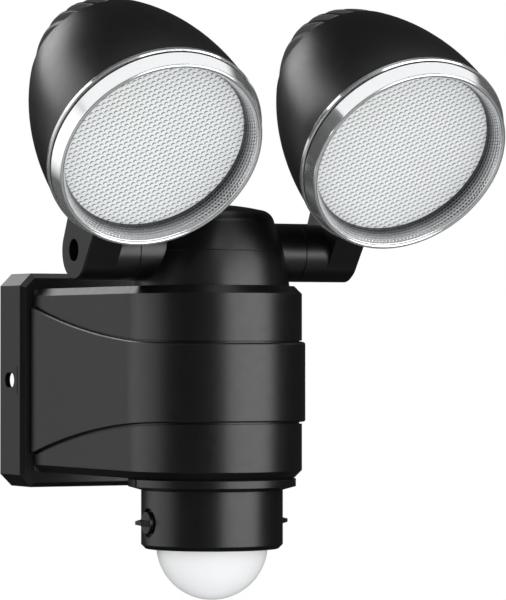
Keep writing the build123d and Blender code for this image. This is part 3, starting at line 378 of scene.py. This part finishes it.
@dataclass(frozen=True)
class DimpledFinish(Finish):
    """Clear plastic with rows of dimples: part of the light passes, and the rest is scattered.

    Each dimple has a grey crescent of painted shade on one fixed side. The piece's map counts lattice cells,
    with a second dimple in the middle of each. The grey crescent is what a disc about a lattice point leaves
    outside a like disc that is slipped to one side. Lengths are in pitches.
    """

    ior: float = 1.49
    passing: float = 0.38
    # colour of the painted shade in the crescents
    shadow: Colour = (0.03, 0.032, 0.034)
    disc: float = 0.37
    blur: float = 0.05
    slip: Point = (0.135, -0.175, 0.0)

    def dress(self, recipe: Recipe, shader: bpy.types.Node) -> None:
        """Add the passing light.

        Args:
            recipe: the material's node tree.
            shader: its shader node.
        """
        super().dress(recipe, shader)
        shader.inputs["Transmission Weight"].default_value = self.passing
        shader.inputs["IOR"].default_value = self.ior

    def tint(self, recipe: Recipe, normal: Socket) -> Socket:
        """Colour with the crescents of painted shade.

        Args:
            recipe: the material's node tree.
            normal: the rounded normal.

        Returns:
            The colour's socket.
        """
        # painted shade: a grey crescent on one fixed side of every dimple
        painted_crescents = recipe.math("MAXIMUM", self.painted_crescent(recipe, 0.0), self.painted_crescent(recipe, HALF_CELL))
        return recipe.mix(painted_crescents, super().tint(recipe, normal), self.shadow)

    def painted_crescent(self, recipe: Recipe, shift: float) -> Socket:
        """Share of painted shadow in one of the two dimples of each cell.

        Args:
            recipe: the material's node tree.
            shift: place of the dimple in its cell.

        Returns:
            The share's socket.
        """
        chart = recipe.node("UVMap", uv_map="lattice")
        corner = shift + HALF_CELL
        moved = recipe.vector("ADD", chart.outputs["UV"], (corner, corner, 0.0))
        centred = recipe.vector("SUBTRACT", recipe.vector("FRACTION", moved), (HALF_CELL, HALF_CELL, 0.0))
        place = recipe.vector("MULTIPLY", centred, (*CELL_SHAPE, 0.0))
        low, high = self.disc - self.blur, self.disc + self.blur
        inside = recipe.ramp(recipe.vector("LENGTH", place), low, high, 1.0, 0.0)
        outside = recipe.ramp(recipe.vector("DISTANCE", place, self.slip), low, high)
        return recipe.math("MULTIPLY", inside, outside)


@dataclass(frozen=True)
class BeadedFinish(Finish):
    """Bright beads with painted shade at the foot of their wall.

    The piece's map gives the share of the wall's rise, and the painted shade fades out over a span of it.
    """

    # colour of the painted shade at the foot, and the span of the rise over which it fades out
    foot_shade: Colour = (0.08, 0.08, 0.083)
    shade_span: Span = (0.15, 0.95)

    def tint(self, recipe: Recipe, normal: Socket) -> Socket:
        """Colour with painted shade at the foot of the wall.

        Args:
            recipe: the material's node tree.
            normal: the rounded normal.

        Returns:
            The colour's socket.
        """
        parts = recipe.node("SeparateXYZ")
        recipe.feed(parts.inputs[0], recipe.node("UVMap", uv_map="wall").outputs["UV"])
        # painted shade, full at the foot of the wall and gone towards the top
        shaded = recipe.ramp(parts.outputs["Y"], *self.shade_span, 1.0, 0.0)
        return recipe.mix(shaded, super().tint(recipe, normal), self.foot_shade)


@dataclass(frozen=True)
class MilkyFinish(Finish):
    """Milky plastic: light soaks in and spreads under a glossy skin."""

    soak: float = 0.35
    reach: float = 0.004

    def dress(self, recipe: Recipe, shader: bpy.types.Node) -> None:
        """Add the spreading light.

        Args:
            recipe: the material's node tree.
            shader: its shader node.
        """
        super().dress(recipe, shader)
        shader.inputs["Subsurface Weight"].default_value = self.soak
        shader.inputs["Subsurface Scale"].default_value = self.reach
        shader.inputs["Subsurface Radius"].default_value = EVEN


BLACK_PLASTIC = Finish("black_plastic", (0.0018, 0.0018, 0.002), 0.345, grain=Grain.SPARK,
                       edge_colour=(0.007, 0.007, 0.0075))
KNOB_PLASTIC = Finish("knob_plastic", (0.003, 0.003, 0.0032), 0.3, edge_colour=(0.01, 0.01, 0.01))
INNER_PLASTIC = Finish("inner_plastic", (0.03, 0.03, 0.032), 0.5, grain=Grain.SPARK,
                       edge_colour=(0.06, 0.06, 0.06))
BLACK_SHEET = Finish("black_sheet", (0.02, 0.02, 0.021), 0.45, grain=Grain.PEBBLE,
                     edge_colour=(0.12, 0.12, 0.12))
# the bright plate and the beads get painted shade in their grooves
BRIGHT_PLATE = Finish("bright_plate", (0.86, 0.87, 0.88), 0.09, drift=0.03, gloss_spread=0.02,
                      edge_radius=0.0003, metallic=0.88, groove_shade_reach=0.003)
BRIGHT_BEADS = BeadedFinish("bright_beads", (0.78, 0.79, 0.8), 0.06, drift=0.05, gloss_spread=0.02,
                            grain=Grain.NONE, edge_radius=0.0001, metallic=1.0, groove_shade_reach=0.0007)
MIRROR_CUP = Finish("mirror_cup", (0.95, 0.96, 0.98), 0.4, drift=0.01, gloss_spread=0.03, metallic=1.0)
BARE_ALUMINIUM = Finish("bare_aluminium", (0.7, 0.7, 0.71), 0.38, grain=Grain.BRUSHED, metallic=1.0)
SCREW_STEEL = Finish("screw_steel", (0.52, 0.52, 0.53), 0.32, grain=Grain.BRUSHED, metallic=1.0)
CONTACT_NICKEL = Finish("contact_nickel", (0.66, 0.63, 0.57), 0.25, metallic=1.0)
CELL_WRAP = Finish("cell_wrap", (0.12, 0.13, 0.15), 0.3, edge_colour=(0.5, 0.5, 0.5))
BLACK_RUBBER = Finish("black_rubber", (0.018, 0.018, 0.018), 0.7, grain=Grain.PEBBLE)
WHITE_BOARD = Finish("white_board", (0.8, 0.8, 0.78), 0.4, drift=0.05)
GREEN_BOARD = Finish("green_board", (0.02, 0.12, 0.05), 0.35, drift=0.2, edge_colour=(0.3, 0.26, 0.14))
PHOSPHOR = Finish("phosphor", (0.9, 0.88, 0.04), 0.35, drift=0.08, grain=Grain.PEBBLE)
ADJUSTER = Finish("adjuster", (0.02, 0.06, 0.25), 0.35)
CLEAR_LENS = DimpledFinish("clear_lens", (0.955, 0.98, 0.985), 0.12, drift=0.02, gloss_spread=0.02,
                           grain=Grain.NONE, edge_radius=0.0001)
MILKY_DOME = MilkyFinish("milky_dome", (0.75, 0.76, 0.77), 0.24, drift=0.02, gloss_spread=0.03)
FLOOR_PAPER = Finish("floor_paper", (0.86, 0.86, 0.86), 0.8, drift=0.01)


class Wardrobe:
    """Makes each finish's material once, and puts it on solids and pieces."""

    def __init__(self) -> None:
        """Start with no material made."""
        self.made: dict[Finish, bpy.types.Material] = {}

    def dress(self, thing: bpy.types.Object, finish: Finish) -> None:
        """Give an object one finish all over.

        Args:
            thing: the solid's object or a piece.
            finish: what it is finished in.
        """
        if finish not in self.made:
            self.made[finish] = finish.material()
        thing.data.materials.clear()
        thing.data.materials.append(self.made[finish])

    def dress_nodes(self, finish: Finish, *names: str) -> None:
        """Give solids one finish.

        Args:
            finish: what they are finished in.
            names: the solids' names.
        """
        for name in names:
            self.dress(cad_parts[name], finish)
            LOG.info("%s in %s", name, finish.name)


def grid_faces(rows: int, columns: int) -> np.ndarray:
    """Quads of a grid of points that is stored row by row.

    Args:
        rows: number of rows of points.
        columns: number of points in a row.

    Returns:
        Array of four indices per quad, turned so that row cross column points along the normal.
    """
    first = np.arange(rows - 1)[:, None] * columns + np.arange(columns - 1)
    return np.stack([first, first + columns, first + columns + 1, first + 1], axis=-1).reshape(-1, 4)


def closing_faces(loop: np.ndarray, rings: int, start: int) -> np.ndarray:
    """Quads that close a surface, from its edge loop over rings of as many points to a pole.

    Args:
        loop: indices of the edge loop's points, an even number of them.
        rings: number of rings, which are stored one after another, with the pole after the last.
        start: index of the first ring's first point.

    Returns:
        Array of four indices per quad.
    """
    count = len(loop)
    rows = np.vstack([loop, start + np.arange(rings * count).reshape(rings, count)])
    following = np.roll(rows, -1, axis=1)
    walls = np.stack([rows[:-1], rows[1:], following[1:], following[:-1]], axis=-1).reshape(-1, 4)
    pole = np.full(count // 2, start + rings * count)
    last = rows[-1]
    pairs = np.stack([last[0::2], pole, np.roll(last, -2)[0::2], last[1::2]], axis=-1)
    return np.vstack([walls, pairs])


def lattice_cell(pitch: float) -> np.ndarray:
    """Width and height of a cell of the triangular lattice of a pitch, which holds two points."""
    return pitch * np.array(CELL_SHAPE)


def caps(x: np.ndarray, y: np.ndarray, pitch: float) -> np.ndarray:
    """Heights of round caps on a triangular lattice whose rows run along y.

    With the distance d to the nearest lattice point, a cap's height is 1 - (d / reach) squared, and the
    reach is the pitch over the square root of three, so that neighbours meet.

    Args:
        x: distances across the rows.
        y: distances along the rows.
        pitch: distance between neighbours.

    Returns:
        Array of heights, from 0 to 1.
    """
    places = np.stack([x, y], axis=-1) / lattice_cell(pitch)
    shifted = np.stack([places, places + HALF_CELL])
    offsets = (shifted - np.round(shifted)) * lattice_cell(pitch)
    near = np.hypot(offsets[..., 0], offsets[..., 1]).min(axis=0)
    return 1.0 - (near * sqrt(3.0) / pitch) ** 2


def make_piece(name: str, points: np.ndarray, quads: np.ndarray, body: str) -> bpy.types.Object:
    """Put points and quads into a smooth mesh that rides on a body.

    Args:
        name: the piece's name.
        points: array of points in the frame of the solids.
        quads: array of four indices per face.
        body: the body it moves with.

    Returns:
        The piece's object.
    """
    mesh = bpy.data.meshes.new(name)
    mesh.from_pydata(points.tolist(), [], quads.tolist())
    mesh.polygons.foreach_set("use_smooth", np.ones(len(quads), bool))
    mesh.validate()
    mesh.update()
    made = bpy.data.objects.new(name, mesh)
    bpy.context.scene.collection.objects.link(made)
    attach(made, body)
    LOG.info("%s: %d faces on %s", name, len(quads), body)
    return made


def add_map(piece: bpy.types.Object, name: str, places: np.ndarray) -> None:
    """Give a piece a map.

    Args:
        piece: the piece's object.
        name: the map's name.
        places: array of two coordinates per point.
    """
    corners = np.empty(len(piece.data.loops), np.int32)
    piece.data.loops.foreach_get("vertex_index", corners)
    piece.data.uv_layers.new(name=name).data.foreach_set("uv", places[corners].ravel())


@dataclass(frozen=True)
class LampHead:
    """One lamp head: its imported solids, a lens with rows of small dimples, and a beaded wall round it.

    The head's own axes are x, up the lens and back from the rim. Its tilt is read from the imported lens.
    """

    side: Side
    lens_thick: float = 0.003
    pitch: float = 0.00252
    dimple_depth: float = 0.00028
    clear_edge: float = 0.0015
    cells: int = 300
    rear_rings: int = 4
    wall_foot: float = 0.0404
    wall_top: float = 0.0433
    wall_rise: float = 0.0084
    wall_backing: float = 0.0004
    bead_count: int = 156
    bead_height: float = 0.00042
    bead_steps: int = 8

    @property
    def lens_radius(self) -> float:
        """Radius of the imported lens, which is half its width."""
        low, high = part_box(self.side.node("lens"))
        return (high[0] - low[0]) / 2

    def axes(self) -> tuple[np.ndarray, np.ndarray, np.ndarray]:
        """Middle of the lens, its up direction and its direction back into the head.

        The lens is a disc turned about x, so its box gives the tilt: with radius r and thickness t the box
        is 2 r sin + t cos deep and 2 r cos + t sin tall.

        Returns:
            Three vectors in the frame of the solids.
        """
        low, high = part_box(self.side.node("lens"))
        middle = np.array((low + high) / 2)
        deep, tall = high[1] - low[1], high[2] - low[2]
        across, thick = 2 * self.lens_radius, self.lens_thick
        tilt = atan2(deep * across - tall * thick, tall * across - deep * thick)
        up = np.array((0.0, -sin(tilt), cos(tilt)))
        back = np.array((0.0, cos(tilt), sin(tilt)))
        return middle, up, back

    def disc(self) -> tuple[np.ndarray, np.ndarray]:
        """Grid of points on the lens's disc.

        A square of parameters u, v from -1 to 1 is drawn in to a disc: x = u sqrt(1 - v v / 2) and
        y = v sqrt(1 - u u / 2), so the cells stay nearly square.

        Returns:
            Arrays of x and y over the grid.
        """
        span = np.linspace(-1.0, 1.0, self.cells + 1)
        u, v = np.meshgrid(span, span, indexing="ij")
        x = self.lens_radius * u * np.sqrt(1.0 - v * v / 2.0)
        y = self.lens_radius * v * np.sqrt(1.0 - u * u / 2.0)
        return x, y

    def dimples(self, x: np.ndarray, y: np.ndarray) -> np.ndarray:
        """Depth of the dimples at points of the disc, which fades to a smooth edge.

        Args:
            x: distances across the lens.
            y: distances up the lens.

        Returns:
            Array of depths.
        """
        fade = np.clip((self.lens_radius - np.hypot(x, y)) / self.clear_edge - 1.0, 0.0, 1.0)
        return self.dimple_depth * fade * caps(x, y, self.pitch)

    def lens(self) -> bpy.types.Object:
        """Build the lens: dimples in its face, a smooth rear, and a rim.

        The face is the disc's grid pushed back by the dimples. The rear is the grid's edge loop drawn in to
        the middle on a few rings. The lens's map counts cells of the lattice across and up.

        Returns:
            The lens's object.
        """
        middle, up, back = self.axes()
        x, y = self.disc()
        depth = self.dimples(x, y) - self.lens_thick / 2
        grid = middle + x[..., None] * ACROSS + y[..., None] * up + depth[..., None] * back
        face = grid.reshape(-1, 3)
        index = np.arange(x.size).reshape(x.shape)
        loop = np.concatenate([index[:-1, 0], index[-1, :-1], index[:0:-1, -1], index[0, :0:-1]])
        edge = face[loop] + back * self.lens_thick
        rear_middle = middle + back * self.lens_thick / 2
        shares = np.linspace(0.0, 1.0, self.rear_rings + 1)[:-1]
        rings = edge + shares[:, None, None] * (rear_middle - edge)
        points = np.vstack([face, rings.reshape(-1, 3), rear_middle])
        quads = np.vstack([grid_faces(*x.shape), closing_faces(loop, self.rear_rings, x.size)])
        made = make_piece(self.side.node("dimpled_lens"), points, quads, self.side.node("head"))
        places = np.stack([(points - middle) @ ACROSS, (points - middle) @ up], axis=-1)
        add_map(made, "lattice", places / lattice_cell(self.pitch))
        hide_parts(self.side.node("lens"))
        return made

    def beads(self) -> bpy.types.Object:
        """Build the beaded inside of the bezel, a ring that leans outward from the lens to the lip.

        Its section is a closed loop: a run up the wall, pushed in to the axis by the beads, and a smooth run
        back inside the bezel. The loop is turned about the head's axis. The beads fade out at both ends of
        the run. The ring's map gives the shares of the turn and of the rise.

        Returns:
            The ring's object.
        """
        middle, up, back = self.axes()
        pitch = 2 * pi * self.wall_foot / self.bead_count
        slope = np.hypot(self.wall_rise, self.wall_top - self.wall_foot)
        share = np.linspace(0.0, 1.0, round(slope / pitch * self.bead_steps) + 1)
        steps = self.bead_count * self.bead_steps
        turn = np.arange(steps) * 2 * pi / steps
        along, around = np.meshgrid(share, turn, indexing="ij")
        fade = np.clip(np.minimum(along, 1.0 - along) * slope / pitch, 0.0, 1.0)
        height = self.bead_height * fade * caps(along * slope, around * self.wall_foot, pitch)
        wall = self.wall_foot + along * (self.wall_top - self.wall_foot)
        top_and_foot = [-1, 0]
        radius = np.vstack([wall - height, wall[top_and_foot] + self.wall_backing])
        share_up = np.vstack([along, along[top_and_foot]])
        rise = share_up * self.wall_rise + self.lens_thick / 2
        spoke = np.cos(turn)[:, None] * ACROSS + np.sin(turn)[:, None] * up
        points = middle + radius[..., None] * spoke - rise[..., None] * back
        index = np.arange(radius.size).reshape(radius.shape)
        onward = np.roll(index, -1, axis=0)
        quads = np.stack([index, onward, np.roll(onward, -1, axis=1), np.roll(index, -1, axis=1)], axis=-1)
        made = make_piece(self.side.node("bezel_beads"), points.reshape(-1, 3), quads.reshape(-1, 4),
                          self.side.node("head"))
        share_round = np.broadcast_to(turn / (2 * pi), share_up.shape)
        add_map(made, "wall", np.stack([share_round, share_up], axis=-1).reshape(-1, 2))
        return made

    def build(self, wardrobe: Wardrobe) -> None:
        """Build the lens and the beads, and finish the head's solids.

        Args:
            wardrobe: what holds the materials.
        """
        node = self.side.node
        wardrobe.dress(self.lens(), CLEAR_LENS)
        wardrobe.dress(self.beads(), BRIGHT_BEADS)
        wardrobe.dress_nodes(BLACK_PLASTIC, node("head_shell"), node("head_ear"), node("arm_stub"))
        wardrobe.dress_nodes(BRIGHT_PLATE, node("bezel"))
        wardrobe.dress_nodes(BLACK_RUBBER, node("lens_seal"))
        wardrobe.dress_nodes(MIRROR_CUP, node("reflector"))
        wardrobe.dress_nodes(WHITE_BOARD, node("led_board"))
        wardrobe.dress_nodes(PHOSPHOR, node("led"))
        wardrobe.dress_nodes(BARE_ALUMINIUM, node("heat_sink"))


@dataclass(frozen=True)
class Housing:
    """Wall box, body, battery pack and turret."""

    def build(self, wardrobe: Wardrobe) -> None:
        """Finish the solids that stay still.

        Args:
            wardrobe: what holds the materials.
        """
        wardrobe.dress_nodes(BLACK_PLASTIC, "back_box", "body_housing", "turret_lower", "turret_upper")
        wardrobe.dress_nodes(BLACK_SHEET, "wall_bracket")
        wardrobe.dress_nodes(INNER_PLASTIC, "battery_tray", "battery_door")
        wardrobe.dress_nodes(CELL_WRAP, "batteries")
        wardrobe.dress_nodes(CONTACT_NICKEL, "front_contacts", "door_contacts")
        wardrobe.dress_nodes(GREEN_BOARD, "control_board")
        wardrobe.dress_nodes(BLACK_RUBBER, "body_seal")
        wardrobe.dress_nodes(SCREW_STEEL, "case_screws", "door_screws", "control_board_screws",
                             "turret_clamp_screws", "turret_screws", "pivot_screws", "pivot_washers")


@dataclass(frozen=True)
class MotionSensor:
    """Collar, dome and adjusting knobs under the body."""

    def build(self, wardrobe: Wardrobe) -> None:
        """Finish the sensor's solids.

        Args:
            wardrobe: what holds the materials.
        """
        wardrobe.dress_nodes(BLACK_PLASTIC, "sensor_housing")
        wardrobe.dress_nodes(MILKY_DOME, "sensor_dome")
        wardrobe.dress_nodes(INNER_PLASTIC, "dome_retainer")
        wardrobe.dress_nodes(BLACK_RUBBER, "sensor_seal")
        wardrobe.dress_nodes(GREEN_BOARD, "sensor_board")
        wardrobe.dress_nodes(ADJUSTER, "potentiometers")
        wardrobe.dress_nodes(CONTACT_NICKEL, "pir_sensor")
        wardrobe.dress_nodes(SCREW_STEEL, "sensor_screws")
        wardrobe.dress_nodes(KNOB_PLASTIC, *(side.node("knob") for side in Side))


def toward(azimuth: float, elevation: float = 0.0) -> Point:
    """Direction out from the object.

    Args:
        azimuth: degrees from the front, positive to the right.
        elevation: degrees above the horizon.

    Returns:
        The unit vector.
    """
    a, e = radians(azimuth), radians(elevation)
    return sin(a) * cos(e), -cos(a) * cos(e), sin(e)


@dataclass(frozen=True)
class SoftBox:
    """A rectangular studio lamp that looks at the object.

    Its angles, in degrees, are those that toward takes. The glow is its brightness next to white paper.
    """

    name: str
    azimuth: float
    elevation: float
    distance: float
    width: float
    height: float
    glow: float
    skins: Skins = Skins.ALL

    def build(self, target: Vector) -> None:
        """Hang the lamp.

        Args:
            target: the point that it looks at.
        """
        data = bpy.data.lights.new(self.name, "AREA")
        data.shape = "RECTANGLE"
        data.size, data.size_y = self.width, self.height
        data.energy = self.glow * pi * self.width * self.height
        lamp = bpy.data.objects.new(self.name, data)
        lamp.visible_glossy = self.skins is not Skins.DULL
        lamp.visible_diffuse = self.skins is not Skins.SHINY
        bpy.context.scene.collection.objects.link(lamp)
        away = Vector(toward(self.azimuth, self.elevation))
        lamp.location = target + away * self.distance
        lamp.rotation_mode = "QUATERNION"
        lamp.rotation_quaternion = away.to_track_quat("Z", "Y")
        LOG.info("lamp %s", self.name)


@dataclass(frozen=True)
class Camera:
    """Camera at the photograph's viewing angle.

    It stands at a distance from the upright axis of the body, which the sensor dome is turned about, and
    looks nearly level. That axis and the horizon lie at given places in the image.
    """

    azimuth: float = -26.2
    distance: float = 1.645
    height: float = 0.0164
    focal_pixels: float = 3700.0
    image_height: int = 600
    image_width: int = 506
    axis_pixel: float = 212.0
    horizon_pixel: float = 345.0
    sensor_mm: float = 36.0

    def build(self) -> None:
        """Make the camera and point it."""
        data = bpy.data.cameras.new("camera")
        data.sensor_width = self.sensor_mm
        data.lens = self.focal_pixels / self.image_height * self.sensor_mm
        camera = bpy.data.objects.new("camera", data)
        bpy.context.scene.collection.objects.link(camera)
        a = radians(self.azimuth)
        low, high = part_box("sensor_dome")
        axis = Vector((0.0, (low[1] + high[1]) / 2, self.height))
        forward = Vector((-sin(a), cos(a), 0.0))
        right = Vector((cos(a), sin(a), 0.0))
        camera.location = axis - forward * self.distance
        aim_right = (self.image_width / 2 - self.axis_pixel) / self.focal_pixels
        aim_up = (self.horizon_pixel - self.image_height / 2) / self.focal_pixels
        look = forward + right * aim_right + Vector((0.0, 0.0, aim_up))
        camera.rotation_mode = "QUATERNION"
        camera.rotation_quaternion = look.to_track_quat("-Z", "Y")
        bpy.context.scene.camera = camera


@dataclass(frozen=True)
class Studio:
    """White background, pale floor and soft lamps round the object.

    Shiny skins mirror soft cards: a high and a low one in front, one at the left, and a strip overhead. A
    span is where a card's brightness fades, in the height or the cosine of the mirrored direction.
    """

    floor_drop: float = 0.25
    floor_radius: float = 2.2
    floor_rings: int = 12
    floor_spokes: int = 96
    floor_hole: float = 0.01
    front_azimuth: float = -20.0
    front_edge: Span = (-0.1, 0.35)
    high_foot: Span = (0.12, 0.42)
    high_top: Span = (0.8, 0.97)
    high_glow: float = 0.5
    low_top: Span = (-0.1, -0.35)
    low_glow: float = 0.3
    left_azimuth: float = -122.0
    left_edge: Span = (0.75, 0.98)
    left_glow: float = 1.3
    strip_tilt: float = 13.0
    strip_shift: float = 0.13
    strip_edge: Span = (0.24, 0.36)
    strip_foot: Span = (0.2, 0.45)
    dark_cloth: float = 0.03
    lamps: tuple[SoftBox, ...] = (
        SoftBox("key", azimuth=22.0, elevation=4.0, distance=1.6, width=1.9, height=1.1, glow=4.1,
                skins=Skins.SHINY),
        SoftBox("left_back", azimuth=-126.0, elevation=35.0, distance=1.5, width=0.8, height=0.6, glow=1.4),
        SoftBox("back", azimuth=199.0, elevation=29.0, distance=1.6, width=1.1, height=0.5, glow=2.8),
        SoftBox("fill", azimuth=-10.0, elevation=-8.0, distance=1.4, width=1.2, height=0.6, glow=3.8,
                skins=Skins.DULL),
    )

    def world(self) -> None:
        """Background: white to the camera and through glass, with cards in what shiny skins mirror."""
        made = bpy.data.worlds.new("studio")
        made.use_nodes = True
        recipe = Recipe(made.node_tree)
        path = recipe.node("LightPath")
        direct = recipe.math("SUBTRACT", 1.0, path.outputs["Is Transmission Ray"])
        mirrored = recipe.math("MULTIPLY", path.outputs["Is Glossy Ray"], direct)
        dimming = recipe.math("MULTIPLY", mirrored, recipe.math("SUBTRACT", 1.0, self.cards(recipe)))
        background = recipe.node("Background")
        background.inputs["Color"].default_value = (1.0, 1.0, 1.0, 1.0)
        recipe.feed(background.inputs["Strength"], recipe.math("SUBTRACT", 1.0, dimming))
        out = recipe.node("OutputWorld")
        recipe.feed(out.inputs["Surface"], background.outputs["Background"])
        bpy.context.scene.world = made

    def cards(self, recipe: Recipe) -> Socket:
        """Brightness of what shiny skins mirror, which is dark cloth where there is no card.

        Args:
            recipe: the world's node tree.

        Returns:
            The brightness's socket, a function of direction alone.
        """
        direction = recipe.node("TexCoord").outputs["Generated"]
        parts = recipe.node("SeparateXYZ")
        recipe.feed(parts.inputs[0], direction)
        height = parts.outputs["Z"]
        ahead = recipe.vector("DOT_PRODUCT", direction, toward(self.front_azimuth))
        high = recipe.math("MULTIPLY", recipe.ramp(height, *self.high_foot),
                           recipe.ramp(height, *self.high_top, self.high_glow, 0.0))
        low = recipe.ramp(height, *self.low_top, 0.0, self.low_glow)
        front = recipe.math("MULTIPLY", recipe.ramp(ahead, *self.front_edge),
                            recipe.math("MAXIMUM", high, low))
        leftward = recipe.vector("DOT_PRODUCT", direction, toward(self.left_azimuth))
        left = recipe.ramp(leftward, *self.left_edge, 0.0, self.left_glow)
        tilt = radians(self.strip_tilt)
        over = recipe.vector("DOT_PRODUCT", direction, (0.0, cos(tilt), sin(tilt)))
        beside = recipe.math("ABSOLUTE", recipe.math("SUBTRACT", over, self.strip_shift))
        strip = recipe.math("MULTIPLY", recipe.ramp(beside, *self.strip_edge, 1.0, 0.0),
                            recipe.ramp(height, *self.strip_foot))
        bright = recipe.math("MAXIMUM", front, recipe.math("MAXIMUM", left, strip))
        return recipe.math("MAXIMUM", bright, self.dark_cloth)

    def floor(self, low: Vector, middle: Vector) -> None:
        """Round pale floor below the object, which shiny skins do not mirror.

        Points lie on rings about the middle, at a radius that grows with the square of the ring's share. The
        innermost ring bounds a tiny hole.

        Args:
            low: lowest corner of the object.
            middle: middle of the object.
        """
        share = np.linspace(0.0, 1.0, self.floor_rings + 1) ** 2
        share[0] = share[1] * self.floor_hole
        turn = np.linspace(0.0, 2 * pi, self.floor_spokes + 1)
        x = middle.x + self.floor_radius * share[:, None] * np.cos(turn)
        y = middle.y + self.floor_radius * share[:, None] * np.sin(turn)
        z = np.full(x.shape, low.z - self.floor_drop)
        points = np.stack([x, y, z], axis=-1).reshape(-1, 3)
        mesh = bpy.data.meshes.new("floor")
        mesh.from_pydata(points.tolist(), [], grid_faces(*x.shape).tolist())
        made = bpy.data.objects.new("floor", mesh)
        bpy.context.scene.collection.objects.link(made)
        mesh.materials.append(FLOOR_PAPER.material())
        made.visible_glossy = False
        made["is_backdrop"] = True

    def build(self, low: Vector, high: Vector) -> None:
        """Set up the background, the floor, the lamps and the camera.

        Args:
            low: lowest corner of the object.
            high: highest corner of the object.
        """
        middle = (low + high) / 2
        self.world()
        self.floor(low, middle)
        for lamp in self.lamps:
            lamp.build(middle)
        Camera().build()
        bpy.context.scene.view_settings.view_transform = "Standard"


def main() -> None:
    """Dress the floodlight and set up its studio."""
    logging.basicConfig(level=logging.INFO, format="%(message)s")
    cad_low, cad_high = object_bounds()
    wardrobe = Wardrobe()
    Housing().build(wardrobe)
    MotionSensor().build(wardrobe)
    for side in Side:
        LampHead(side).build(wardrobe)
    Studio().build(cad_low, cad_high)


if __name__ == "__main__":
    main()
